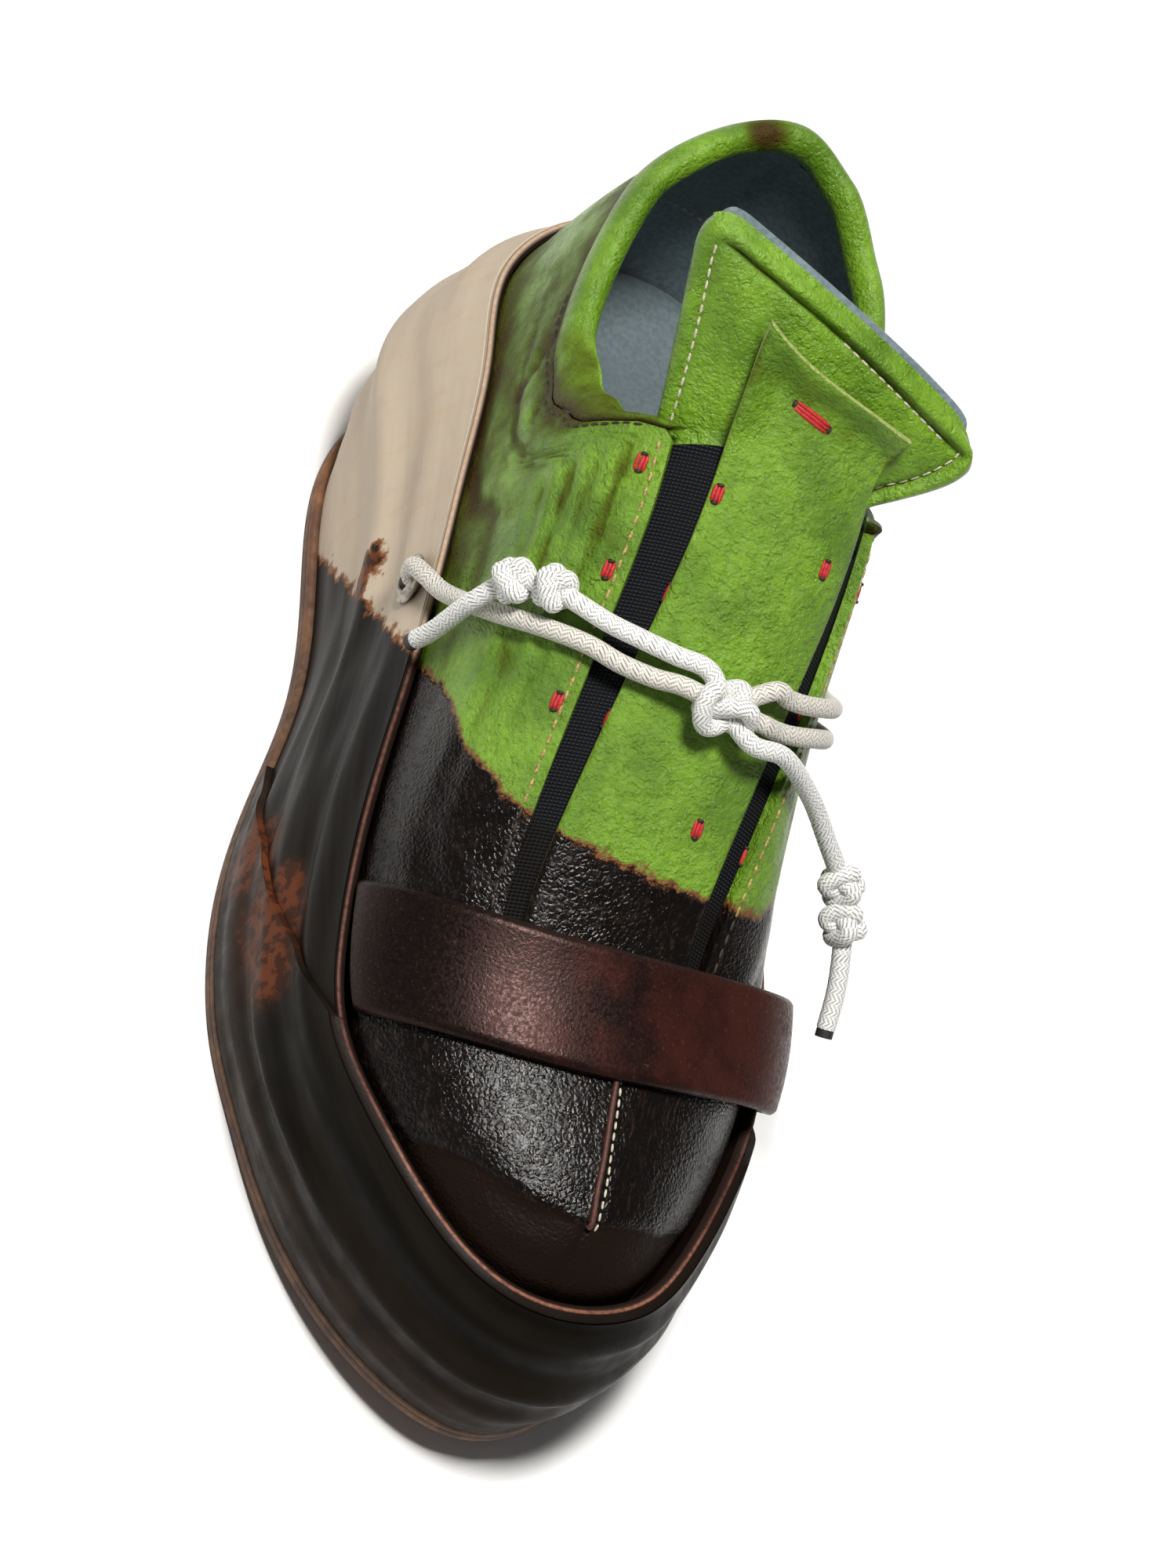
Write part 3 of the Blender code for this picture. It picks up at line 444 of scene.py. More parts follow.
class Look:
    """A material whose nodes are added one call at a time."""

    def __init__(self, name):
        self.material = bpy.data.materials.new(name)
        self.material.use_nodes = True
        self.tree = self.material.node_tree
        self.shader = self.tree.nodes["Principled BSDF"]

    def put(self, socket, value):
        if isinstance(value, bpy.types.NodeSocket):
            self.tree.links.new(value, socket)
        elif isinstance(value, tuple) and len(value) == 3 and len(socket.default_value) == 4:
            socket.default_value = (*value, 1.0)
        else:
            socket.default_value = value

    def node(self, kind, settings=None, **inputs):
        made = self.tree.nodes.new("ShaderNode" + kind)
        for key, value in (settings or {}).items():
            setattr(made, key, value)
        for key, value in inputs.items():
            self.put(made.inputs[key], value)
        return made

    def numbered(self, kind, settings, values):
        """A node whose inputs are set by number, from a dictionary."""
        made = self.node(kind, settings)
        for index, value in values.items():
            self.put(made.inputs[index], value)
        return made.outputs

    def spot(self):
        return self.node("TexCoord").outputs["Object"]

    def mark(self, name, part="Fac"):
        """A value that the mesh carries at its points."""
        return self.node("Attribute", {"attribute_name": name}).outputs[part]

    def scaled(self, where, scale):
        return self.numbered("VectorMath", {"operation": "MULTIPLY"}, {0: where, 1: scale})[0]

    def noise(self, size, detail=3.0, where=None, rough=0.55):
        """Cloudy noise with features of about this size in the units of where, metres if none is given."""
        made = self.node("TexNoise", Vector=where or self.spot(), Scale=1.0 / size, Detail=detail)
        made.inputs["Roughness"].default_value = rough
        return made.outputs[0]

    def patches(self, size, detail, low, high, to_low=0.0, to_high=1.0, soft=True):
        """Noise with features of this many millimetres, spread from one span of values to another."""
        return self.span(self.noise(size * MM, detail), low, high, to_low, to_high, soft)

    def cells(self, size):
        settings = {"feature": "DISTANCE_TO_EDGE"}
        return self.node("TexVoronoi", settings, Vector=self.spot(), Scale=1.0 / size).outputs["Distance"]

    def waves(self, direction, where, **inputs):
        return self.node("TexWave", {"bands_direction": direction}, Vector=where, **inputs).outputs["Fac"]

    def math(self, operation, first, second=0.0):
        return self.numbered("Math", {"operation": operation}, {0: first, 1: second})[0]

    def plus(self, first, second):
        return self.math("ADD", first, second)

    def times(self, first, second):
        return self.math("MULTIPLY", first, second)

    def span(self, value, low, high, to_low=0.0, to_high=1.0, soft=True):
        settings = {"interpolation_type": "SMOOTHSTEP" if soft else "LINEAR"}
        return self.numbered("MapRange", settings, dict(enumerate((value, low, high, to_low, to_high))))[0]

    def mix(self, factor, first, second):
        return self.numbered("Mix", {"data_type": "RGBA"}, {0: factor, 6: first, 7: second})[2]

    def bump(self, height, depth, strength=1.0, under=None):
        made = self.node("Bump", Strength=strength, Distance=depth * MM, Height=height)
        if under is not None:
            self.put(made.inputs["Normal"], under)
        return made.outputs[0]

    def set(self, **inputs):
        for key, value in inputs.items():
            self.put(self.shader.inputs[key.replace("_", " ")], value)
        return self.material


GREEN = (0.180, 0.350, 0.020)
GREEN_DEEP = (0.085, 0.185, 0.008)
OLIVE = (0.066, 0.080, 0.005)
BROWN = (0.050, 0.030, 0.005)
FRINGE = (0.16, 0.055, 0.012)
BLACK_BROWN = (0.0040, 0.0028, 0.0023)
SCRATCHED = (0.024, 0.0145, 0.0105)
MATT_BROWN = (0.0120, 0.0070, 0.0050)
CREAM = (0.505, 0.420, 0.322)
CREAM_RUN = (0.50, 0.33, 0.19)
CREAM_SOILED = (0.38, 0.31, 0.24)
CREAM_FRINGE = (0.20, 0.075, 0.024)
COVER_FOLD_SHADE = (0.0052, 0.0042, 0.0031)
COVER_FOLD_LIGHT = (0.0105, 0.0080, 0.0058)
COVER_PALER = (0.027, 0.0165, 0.0105)
RAW_CREAM = (0.42, 0.27, 0.18)
RAW_DARK = (0.115, 0.046, 0.034)
RAW_TOE_HIGHLIT = (0.27, 0.115, 0.075)
LINE_AND_GAP_SHADE = (0.016, 0.009, 0.007)
RUST = (0.112, 0.032, 0.012)
RUST_DEEP = (0.048, 0.016, 0.008)
STRAP_DARK = (0.0055, 0.0038, 0.0034)
STRAP_RED = (0.040, 0.0105, 0.0075)
STRAP_SPARKLE_HIGHLIGHT = (0.085, 0.040, 0.028)
STRAP_EDGE = (0.010, 0.006, 0.005)
STRAP_GLINT = (1.0, 0.60, 0.55)
RIB = (0.0270, 0.0310, 0.0410)
RIB_DEEP = (0.0020, 0.0022, 0.0032)
RIB_DYED = (0.006, 0.0045, 0.004)
TAN = (0.24, 0.105, 0.042)
TAN_DEEP = (0.11, 0.046, 0.022)
TREAD = (0.026, 0.016, 0.012)
TREAD_WORN = (0.10, 0.058, 0.034)
METAL = (0.36, 0.33, 0.28)
METAL_DULL = (0.13, 0.105, 0.08)


def dyed(look, edge, ragged):
    """Masks of the dip dye and of the orange fringe ahead of it."""
    depth = look.plus(look.mark("dye"), look.patches(3.4, 4.0, 0.2, 0.8, -ragged, ragged, False))
    depth = look.plus(depth, look.patches(0.9, 2.0, 0.2, 0.8, -0.7, 0.7, False))
    return look.span(depth, -edge, edge), look.span(depth, -edge - 1.6, -edge)


def grain(look, dark, crease_lines, crinkle):
    """Crinkled leather: uneven wrinkles, calmer where dyed, sharp little creases and a fine pebble."""
    wrinkles = look.times(look.noise(2.1 * MM, 5.0, rough=0.66), look.span(dark, 0.0, 1.0, 1.0, 0.22))
    lines = look.times(look.span(crease_lines, 0.0, 0.05), look.span(dark, 0.0, 1.0, 1.0, 0.0))
    creases = look.bump(lines, 0.14, 0.7, look.bump(wrinkles, crinkle, 0.8))
    return look.bump(look.span(look.cells(1.15 * MM), 0.0, 0.35), 0.12, 0.6, creases)


def green_leather(name, shine, crinkle):
    """Green leather darkened to olive and brown by painted shade and by burnish and wear, its dyed front
    scratched and glossy, matt beyond the toe's step.
    """
    look = Look(name)
    base = look.mix(look.patches(16, 4.0, 0.35, 0.7), GREEN, GREEN_DEEP)
    base = look.mix(look.patches(1.6, 3.0, 0.3, 0.75, 0.0, 0.4), base, GREEN_DEEP)
    crease_lines = look.math("ABSOLUTE", look.math("SUBTRACT", look.noise(5 * MM, 4.0), 0.5))
    # Painted shade along the fine creases.
    base = look.mix(look.span(crease_lines, 0.0, 0.022, 0.22, 0.0), base, OLIVE)
    # Olive and brown from the mark: mostly painted shade in creases, by the rim, below the collar and on the
    # flap, with burnish and a scuff.
    mottled_shade_and_wear = look.plus(look.mark("burn"), look.patches(9, 4.0, 0.25, 0.75, -0.32, 0.32, False))
    base = look.mix(look.span(mottled_shade_and_wear, 0.25, 0.95), base, OLIVE)
    base = look.mix(look.span(mottled_shade_and_wear, 0.75, 1.35), base, BROWN)
    dark, fringe = dyed(look, 0.5, 1.5)
    base = look.mix(fringe, base, FRINGE)
    scratches = look.noise(1.0, 4.0, look.scaled(look.spot(), (1100.0, 70.0, 1100.0)))
    tone = look.mix(look.span(scratches, 0.5, 0.75), BLACK_BROWN, SCRATCHED)
    tone = look.mix(look.mark("matt"), tone, MATT_BROWN)
    base = look.mix(dark, base, tone)
    rough = look.patches(5, 3.0, 0.3, 0.7, shine - 0.06, shine + 0.08)
    rough = look.math("SUBTRACT", rough, look.times(dark, look.span(scratches, 0.4, 0.7, 0.02, 0.10)))
    dull = look.math("MAXIMUM", look.mark("matt"), look.span(mottled_shade_and_wear, 0.15, 0.8, 0.0, 0.85))
    rough = look.plus(rough, look.times(dull, 0.26))
    gloss = look.math("SUBTRACT", look.span(dull, 0.0, 1.0, 0.40, 0.10), look.times(dark, 0.14))
    gloss = look.math("MAXIMUM", gloss, 0.04)
    normal = grain(look, dark, crease_lines, crinkle)
    return look.set(Base_Color=base, Roughness=rough, Normal=normal, Specular_IOR_Level=gloss)


def lining_leather(name, pale, deep):
    look = Look(name)
    base = look.mix(look.patches(1.1, 3.0, 0.3, 0.7), pale, deep)
    base = look.mix(look.patches(14, 3.0, 0.45, 0.75, 0.0, 0.45), base, deep)
    normal = look.bump(look.noise(0.7 * MM), 0.12, 0.6)
    return look.set(Base_Color=base, Roughness=0.72, Normal=normal, Sheen_Weight=0.15)


def sole_cover(name, dyed_through):
    """Cover of the sole: pale leather that the dye darkens, with rust, soft folds whose light and shade are
    painted into the dyed colour, and a raw top edge.
    """
    look = Look(name)
    lay = look.mark("lay", "Vector")
    folds = look.noise(1.0, 2.0, look.scaled(lay, (0.012, 0.15, 1.0)))
    # Light and shade of the soft folds painted into the dyed colour, following the folds' bump.
    dye_tone_and_fold_shade = look.mix(look.span(folds, 0.38, 0.66), COVER_FOLD_SHADE, COVER_FOLD_LIGHT)
    # Paler toward the bottom of the wall, in patches.
    paler_below = look.times(look.mark("pale"), look.patches(7, 4.0, 0.35, 0.65, 0.35, 1.0))
    dye_tone_and_fold_shade = look.mix(paler_below, dye_tone_and_fold_shade, COVER_PALER)
    rusty = look.times(look.mark("rust"), look.patches(2.6, 5.0, 0.30, 0.60))
    dye_tone_and_fold_shade = look.mix(look.span(look.mark("rust"), 0.15, 0.8, 0.0, 0.85), dye_tone_and_fold_shade, RUST_DEEP)
    dye_tone_and_fold_shade = look.mix(look.span(rusty, 0.3, 0.75), dye_tone_and_fold_shade, RUST)
    if dyed_through:
        base = dye_tone_and_fold_shade
        # Lighter raw edge at the toe: partly the edge's own tan, partly a painted highlight.
        raw = look.mix(look.mark("toe"), RAW_DARK, RAW_TOE_HIGHLIT)
        rough = look.patches(6, 3.0, 0.3, 0.7, 0.34, 0.50)
    else:
        runs = look.noise(1.0, 3.0, look.scaled(lay, (0.30, 0.030, 1.0)))
        base = look.mix(look.span(runs, 0.50, 0.74, 0.0, 0.28), CREAM, CREAM_RUN)
        base = look.mix(look.patches(5, 4.0, 0.5, 0.8, 0.0, 0.3), base, CREAM_SOILED)
        dark, fringe = dyed(look, 0.6, 2.4)
        base = look.mix(fringe, base, CREAM_FRINGE)
        base = look.mix(dark, base, dye_tone_and_fold_shade)
        raw = look.mix(dark, RAW_CREAM, RAW_DARK)
        rough = look.span(dark, 0.0, 1.0, 0.50, 0.40)
    bits = look.patches(1.3, 4.0, 0.32, 0.62, 0.45, 1.0)
    base = look.mix(look.times(look.mark("edge"), bits), base, raw)
    # Dark line: a thin line at the rim's outer corner, and painted shade on the inner rows down into the gap
    # by the upper.
    base = look.mix(look.mark("line"), base, LINE_AND_GAP_SHADE)
    normal = look.bump(look.noise(0.8 * MM), 0.07, 0.5, look.bump(folds, 1.2, 0.35))
    return look.set(Base_Color=base, Roughness=rough, Normal=normal, Specular_IOR_Level=0.07)


def strap_leather(name):
    look = Look(name)
    way = look.plus(look.mark("way"), look.patches(9, 4.0, 0.3, 0.7, -0.25, 0.25, False))
    base = look.mix(look.span(way, 0.2, 0.95), STRAP_DARK, STRAP_RED)
    # Lighter specks painted into the colour as sparkling highlights.
    base = look.mix(look.patches(0.7, 2.0, 0.62, 0.76, 0.0, 0.55), base, STRAP_SPARKLE_HIGHLIGHT)
    base = look.mix(look.mark("edge"), base, STRAP_EDGE)
    rough = look.patches(0.8, 3.0, 0.3, 0.7, 0.24, 0.48)
    normal = look.bump(look.noise(0.6 * MM), 0.14, 0.6, look.bump(look.noise(5 * MM), 0.3, 0.25))
    return look.set(Base_Color=base, Roughness=rough, Normal=normal, Specular_IOR_Level=0.22,
                    Specular_Tint=STRAP_GLINT)


def elastic_cloth(name):
    look = Look(name)
    lay = look.mark("lay", "Vector")
    cords = look.span(look.waves("Y", lay, Scale=0.36), 0.0, 1.0, 0.3, 1.0)
    weave = look.times(look.waves("X", lay, Scale=0.42, Distortion=0.4, Detail=1.0), cords)
    base = look.mix(look.span(weave, 0.2, 0.9), RIB_DEEP, RIB)
    dark, _ = dyed(look, 2.0, 2.0)
    base = look.mix(dark, base, RIB_DYED)
    normal = look.bump(weave, 0.4, 1.0)
    return look.set(Base_Color=base, Roughness=0.75, Normal=normal, Specular_IOR_Level=0.2)


def outsole_rubber(name):
    look = Look(name)
    tan = look.mix(look.patches(7, 5.0, 0.35, 0.65), TAN, TAN_DEEP)
    deep = look.mix(look.patches(1.6, 4.0, 0.48, 0.7), TREAD, TREAD_WORN)
    treads = look.waves("Y", look.spot(), Scale=80.0, Distortion=1.0)
    normal = look.bump(treads, 0.4, 0.4, look.bump(look.noise(0.8 * MM), 0.15, 0.5))
    return look.set(Base_Color=look.mix(look.mark("heel"), deep, tan), Roughness=0.68, Normal=normal)


def metal(name):
    look = Look(name)
    base = look.mix(look.patches(1.5, 4.0, 0.4, 0.7), METAL, METAL_DULL)
    rough = look.patches(0.8, 3.0, 0.3, 0.7, 0.3, 0.5)
    return look.set(Base_Color=base, Roughness=rough, Metallic=0.8,
                    Normal=look.bump(look.noise(0.6 * MM), 0.05, 0.4))


def cord_braid(name, high, low):
    look = Look(name)
    # Darker where the strands dip between their crowns: painted shade in the braid's grooves.
    base = look.mix(look.span(look.mark("weave"), 0.25, 0.75), low, high)
    base = look.mix(look.patches(3.5, 4.0, 0.55, 0.8, 0.0, 0.3), base, low)
    normal = look.bump(look.noise(0.3 * MM, 2.0), 0.06, 0.5)
    return look.set(Base_Color=base, Roughness=0.62, Normal=normal, Sheen_Weight=0.2)


def thread(name, colour, deep):
    look = Look(name)
    base = look.mix(look.patches(0.5, 3.0, 0.35, 0.65), colour, deep)
    return look.set(Base_Color=base, Roughness=0.6, Normal=look.bump(look.noise(0.25 * MM), 0.08, 0.6))


UPPER = green_leather("green_leather", 0.24, 1.5)
PAD = green_leather("green_padding", 0.21, 1.0)
# The lining's slate is set much lighter than the insole's: painted light where the lamp reaches inside the
# heel.
LINING = lining_leather("slate_lining", (0.215, 0.280, 0.305), (0.130, 0.175, 0.195))
BED = lining_leather("slate_insole", (0.112, 0.148, 0.160), (0.080, 0.108, 0.118))
CREAM_COVER = sole_cover("cream_cover", False)
DARK_COVER = sole_cover("dark_cover", True)
STRAP_SKIN = strap_leather("strap_leather")
ELASTIC = elastic_cloth("ribbed_elastic")
RUBBER = outsole_rubber("tan_outsole")
EYELET = metal("dull_metal")
BRAID = cord_braid("white_braid", (0.86, 0.86, 0.83), (0.24, 0.24, 0.23))
# The lace's bars are a darker beige copy of its white braid: painted shade.
BAR_BRAID_SHADED = cord_braid("beige_braid_shaded", (0.70, 0.67, 0.60), (0.18, 0.17, 0.15))
SEALED = thread("sealed_tip", (0.030, 0.030, 0.030), (0.012, 0.012, 0.012))
RED = thread("red_thread", (0.56, 0.022, 0.022), (0.30, 0.010, 0.010))
YELLOW = thread("yellow_thread", (0.46, 0.37, 0.13), (0.20, 0.13, 0.03))
PALE = thread("cream_thread", (0.66, 0.62, 0.48), (0.40, 0.36, 0.25))
DUSK = thread("brown_thread", (0.030, 0.020, 0.010), (0.012, 0.009, 0.005))
PIPING = thread("red_brown_piping", (0.095, 0.024, 0.013), (0.040, 0.012, 0.008))
# The strip's cut edge: partly the raw edge's own light green, partly a painted highlight along it.
CUT_EDGE_HIGHLIT = thread("cut_leather_edge_highlight", (0.50, 0.56, 0.20), (0.22, 0.27, 0.06))


# Sole

WALL_ROWS = 40
WALL_TOP = 0.985  # share of the wall's height at which the rim's rounding starts
# The cover's top edge: in from the wall's face, below the rim, and the shares of raw edge and of dark line;
# the dark line on the inner rows, down into the gap by the upper, is painted shade
RIM_ROUND = [(0.0, 0.9, 0.0, 0.2), (0.10, 0.45, 0.0, 0.2), (0.20, 0.28, 0.0, 0.8), (0.40, 0.12, 1.0, 0.0)]
RIM_ROUND += [(0.80, 0.0, 1.0, 0.0), (1.15, 0.0, 0.2, 0.7), (1.6, 0.15, 0.0, 1.0), (COVER, 0.7, 0.0, 1.0)]
SHOULDER = 0.15  # rows of it nearer the face than this stand out with the front platform
# Middle and size of each patch of rust, and the run of dye above the dyed front
RUST_SPOTS = [(-54.0, -43.8, 25.1, 12.0), (-54.0, -24.6, 15.2, 11.0)]
RUST_SPOTS += [(-52.9, -54.6, 25.5, 10.0), (-51.6, -36.4, 29.0, 5.0)]
DRIP_FROM = np.array([-44.3, 33.8, 30.7])
DRIP_TO = np.array([-43.9, 39.2, 35.8])
DRIP_RADIUS = 2.3
# Soft folds of the cover: depth and pitch along the wall, then the same for slower ones on the slant
FOLDS = (0.4, 10.0, 0.2, 31.0)
FOLD_SEED = 1.3
WALL_HEIGHT = 45
STATION_LENGTH = 22
PALER_BELOW_SHARES = (-0.62, -0.12)  # of the wall's height, from above, over which the dark cover turns paler toward the bottom
TOE_EDGE_HIGHLIGHT = (84, 100)  # how far forward the raw edge turns lighter at the toe, partly its own tan, partly a painted highlight
EYELET_BELOW = 6.3
EYELET_SIDES = 48
EYELET_HOLE = [(3.3, -9.0), (3.3, 6.0)]
EYELETS = {"lateral": 4.9, "medial": TURNS - 5.05}
# Section of an eyelet: radius and depth along its axis
EYELET_RING = [(2.6, -4.5), (2.55, 1.2), (2.7, 1.9), (3.1, 2.35), (3.7, 2.45), (4.2, 2.2), (4.5, 1.85)]
EYELET_RING += [(5.0, 1.75), (5.3, 1.5), (5.4, 1.2), (5.2, 0.9), (3.4, 0.9), (3.2, 0.6), (3.1, -4.5)]
# Section of the outsole's edge: in from the welt, and height. The insole's is in from its own edge.
OUTSOLE_EDGE = [(0.9, 0.0), (0.35, 0.12), (0.0, 0.6), (0.0, 2.0), (0.12, 2.2), (0.0, 2.4), (0.0, 3.3)]
OUTSOLE_EDGE += [(0.3, 3.8), (0.8, OUTSOLE)]
INSOLE_EDGE = [(0.0, 0.0), (0.0, 1.6), (0.3, 2.2), (0.8, INSOLE), (4.0, INSOLE), (9.0, INSOLE)]
TAN_LEAST = 0.45


def wall_point(station, share, grow):
    """The covered wall, from the outsole (0) to the rim (1)."""
    low_x, low_y = outline(sole_x, sole_y, station, grow)
    high_x, high_y = outline(rim_x, rim_y, station, grow)
    low_z = floor_height(low_y) + OUTSOLE + GAP
    nx, ny = outward(rim_x, rim_y, station)
    bow = np.sin(math.pi * share)
    rib = GROOVE_DEPTH * np.cos(2 * math.pi * GROOVES * share) * bow
    swell = sole_belly(station) * bow - rib
    x = low_x + share * (high_x - low_x) + swell * nx
    y = low_y + share * (high_y - low_y) + swell * ny
    z = low_z + share * (rim_z(station) - low_z)
    return np.stack([x, y, z], -1)


def wall_folds(station, share):
    """Soft uneven folds of the cover along the wall, in millimetres."""
    depth, pitch, slow_depth, slow_pitch = FOLDS
    height = share * WALL_HEIGHT + 4 * np.sin(station * 0.9 + FOLD_SEED)
    slow = ripple(station * STATION_LENGTH + height, slow_pitch, FOLD_SEED + 2)
    return np.sin(math.pi * share) ** 0.7 * (depth * ripple(height, pitch, FOLD_SEED) + slow_depth * slow)


def drip_depth(points):
    """How far points lie inside the run of dye."""
    way = DRIP_TO - DRIP_FROM
    t = np.clip((points - DRIP_FROM) @ way / (way @ way), 0, 1)
    return DRIP_RADIUS - np.linalg.norm(points - DRIP_FROM - t[:, None] * way, axis=1)


def rim_ring(grow, below):
    x, y = outline(rim_x, rim_y, ROUND, grow)
    return np.stack([x, y, rim_z(ROUND) - below], -1)


def cut_at_seam(piece, keep_above):
    """Cuts a cover along the slanting seam and closes it there."""
    work = bmesh.new()
    work.from_mesh(piece.data)
    tilt = math.atan(SEAM_SLOPE)
    up = Vector((0, math.sin(tilt), math.cos(tilt)))
    foot = Vector((0, SEAM_FOOT_Y, OUTSOLE)) - (Vector() if keep_above else SEAM_GAP * up)
    everything = work.verts[:] + work.edges[:] + work.faces[:]
    made = bmesh.ops.bisect_plane(work, geom=everything, plane_co=foot * MM, plane_no=up,
                                  clear_inner=keep_above, clear_outer=not keep_above)
    rim = [item for item in made["geom_cut"] if isinstance(item, bmesh.types.BMEdge)]
    bmesh.ops.holes_fill(work, edges=rim, sides=0)
    bmesh.ops.recalc_face_normals(work, faces=work.faces)
    work.to_mesh(piece.data)
    work.free()
    piece.data.set_sharp_from_angle(angle=math.radians(SHARP))


def build_cover(name, node, material, grow, keep_above, slot):
    nx, ny = outward(rim_x, rim_y, ROUND)
    side = np.stack([nx, ny, 0 * nx], -1)
    rings, marks = [], []
    for share in np.arange(WALL_ROWS + 1) / WALL_ROWS * WALL_TOP:
        rings.append(wall_point(ROUND, share, grow) + wall_folds(ROUND, share)[:, None] * side)
        marks.append((0.0, 0.0, 0.0 if keep_above else ease(-share, *PALER_BELOW_SHARES)))
    for inset, below, edge, line in RIM_ROUND:
        rings.append(rim_ring(grow - inset if inset < SHOULDER else -inset, below))
        marks.append((edge, line, 0.0))
    # The ring down into the gap by the upper is dark all over: painted shade.
    rings.append(rim_ring(-(COVER + TUCK), RIM_DEPTH + GAP))
    marks.append((0.0, 1.0, 0.0))
    points, faces = stacked(rings)
    around = np.hypot(*np.diff(np.stack([rim_x(ROUND), rim_y(ROUND)]), append=0, axis=1))
    arc = np.concatenate([[0], np.cumsum(around)[:-1]])
    drip = drip_depth(points)
    rust = np.clip(0.5 + drip, 0, 1)
    for x, y, z, size in RUST_SPOTS:
        rust = np.maximum(rust, bell(apart(points, (x, y, z)), size))
    values = {
        "lay": np.stack([np.tile(arc, len(rings)), points[:, 2], 0 * points[:, 0]], -1),
        "dye": np.maximum(dye_depth(points), drip),
        "rust": rust,
        "toe": ease(-points[:, 1], *TOE_EDGE_HIGHLIGHT),
    }
    for key, shares in zip(("edge", "line", "pale"), np.array(marks).T):
        values[key] = np.repeat(shares, len(ROUND))
    piece = add_piece(name, points, faces, [material], [node], slot, values=values)
    cut_at_seam(piece, keep_above)
    return piece


def eyelet_seat(station):
    """Middle and outward direction of an eyelet in the wedge's cover."""
    share = 1 - EYELET_BELOW / (rim_z(station) - OUTSOLE)
    nx, ny = outward(rim_x, rim_y, station)
    return wall_point(np.float64(station), share, 0.0), np.array([float(nx), float(ny), 0.0])


def rings_round(center, axis, section):
    """Rings of an eyelet from rows of radius and depth along its axis."""
    axis = unit_of(np.asarray(axis, float))
    first = unit_of(np.cross(axis, (0.0, 0.0, 1.0)))
    second = np.cross(axis, first)
    angles = 2 * math.pi * np.arange(EYELET_SIDES) / EYELET_SIDES
    circle = np.cos(angles)[:, None] * first + np.sin(angles)[:, None] * second
    return [np.asarray(center) + depth * axis + radius * circle for radius, depth in section]


def build_eyelet(wedge, side, station):
    seat, axis = eyelet_seat(station)
    tool = add_piece("hole_" + side, *stacked(rings_round(seat, axis, EYELET_HOLE)), [CREAM_COVER])
    cut = wedge.modifiers.new("hole_" + side, "BOOLEAN")
    cut.operation = "DIFFERENCE"
    cut.solver = "EXACT"
    cut.object = tool
    bpy.context.view_layer.objects.active = wedge
    bpy.ops.object.modifier_apply(modifier=cut.name)
    bpy.data.objects.remove(tool, do_unlink=True)
    rings = rings_round(seat, axis, EYELET_RING)
    faces = grid_faces(len(rings), EYELET_SIDES, closed=True)
    last = (len(rings) - 1) * EYELET_SIDES
    for i in range(EYELET_SIDES):
        j = (i + 1) % EYELET_SIDES
        faces.append((last + i, last + j, j, i))
    points = np.concatenate(rings)
    add_piece("eyelet_ring_" + side, points, faces, [EYELET], ["eyelet_" + side], "eyelet_grey")


def build_sole():
    wedge = build_cover("wedge_cover", "wedge", CREAM_COVER, 0.0, True, "sole_cover_cream")
    build_cover("front_cover", "front_platform", DARK_COVER, PLATFORM_STEP, False, "sole_cover_dark")
    for side, station in EYELETS.items():
        build_eyelet(wedge, side, station)
    rings = []
    for inset, height in OUTSOLE_EDGE:
        x, y = outline(sole_x, sole_y, ROUND, WELT - inset)
        rings.append(np.stack([x, y, floor_height(y) + height], -1))
    points, faces = stacked(rings)
    values = {"heel": TAN_LEAST + (1 - TAN_LEAST) * ease(points[:, 1], 25, 75)}
    add_piece("outsole_plate", points, faces, [RUBBER], ["outsole"], "outsole_tan", values=values)
    margin = COVER + GAP + TUCK + WALL + INSOLE_CLEAR
    rings = [rim_ring(-margin - inset, RIM_DEPTH - height) for inset, height in INSOLE_EDGE]
    add_piece("insole_bed", *stacked(rings), [BED], ["insole"], "insole_grey")


# Upper. Creases run from one station and share of the quarter's height to another, with width and depth.
CREASES = {
    "quarter_low": (2.4, 0.30, 6.2, 0.26, 3.0, 0.55),
    "quarter_middle": (2.9, 0.66, 7.2, 0.56, 1.9, 0.85),
    "quarter_short": (4.2, 0.74, 6.8, 0.62, 1.6, 0.75),
    "quarter_high": (4.1, 0.88, 6.9, 0.72, 1.4, 0.65),
    "quarter_fine": (3.2, 0.56, 5.6, 0.48, 1.3, 0.50),
    "collar_fold_1": (3.3, 0.97, 3.7, 0.60, 1.6, 0.65),
    "collar_fold_2": (3.8, 0.97, 4.3, 0.66, 1.4, 0.55),
    "medial_low": (21.4, 0.32, 17.8, 0.28, 3.2, 0.45),
    "medial_middle": (21.0, 0.62, 17.0, 0.56, 2.2, 0.65),
    "medial_high": (20.2, 0.84, 17.2, 0.70, 1.7, 0.50),
    "ball_lateral": (7.2, 0.50, 8.3, 0.80, 2.6, 0.45),
    "ball_medial": (16.8, 0.50, 15.7, 0.80, 2.6, 0.45),
    "side_seam": (9.3, 0.05, 8.7, 0.80, 0.7, 0.35),
    "toe_lateral": (10.2, 0.62, 11.4, 0.98, 2.2, 0.35),
}
CREASE_STEPS = 70
CREASE_BANK = (2.1, 1.1, 0.5)  # how far off and how wide in crease widths, and how high in crease depths
EDGE_ROWS = 40
VAMP_ROWS = 14
RIM_CLOSE = (0.5, 2.5)  # how far the upper swells to close the trench inside the rim, and over what height
TOE_SEAM_X = [(-125.0, 6.0), (-113.0, 7.4), (-106.6, 8.5), (-90.0, 7.9), (-70.0, 7.2)]  # y and x
TOE_STEP_Y = [(-24.0, -94.0), (-4.0, -104.3), (8.5, -106.6), (27.0, -99.5), (40.0, -88.0)]  # x and y
TOE_FADE = (80, 88)  # how far forward the step and its matt tip set in
SEAM_FADE = (66, 76)  # the same for the centre seam
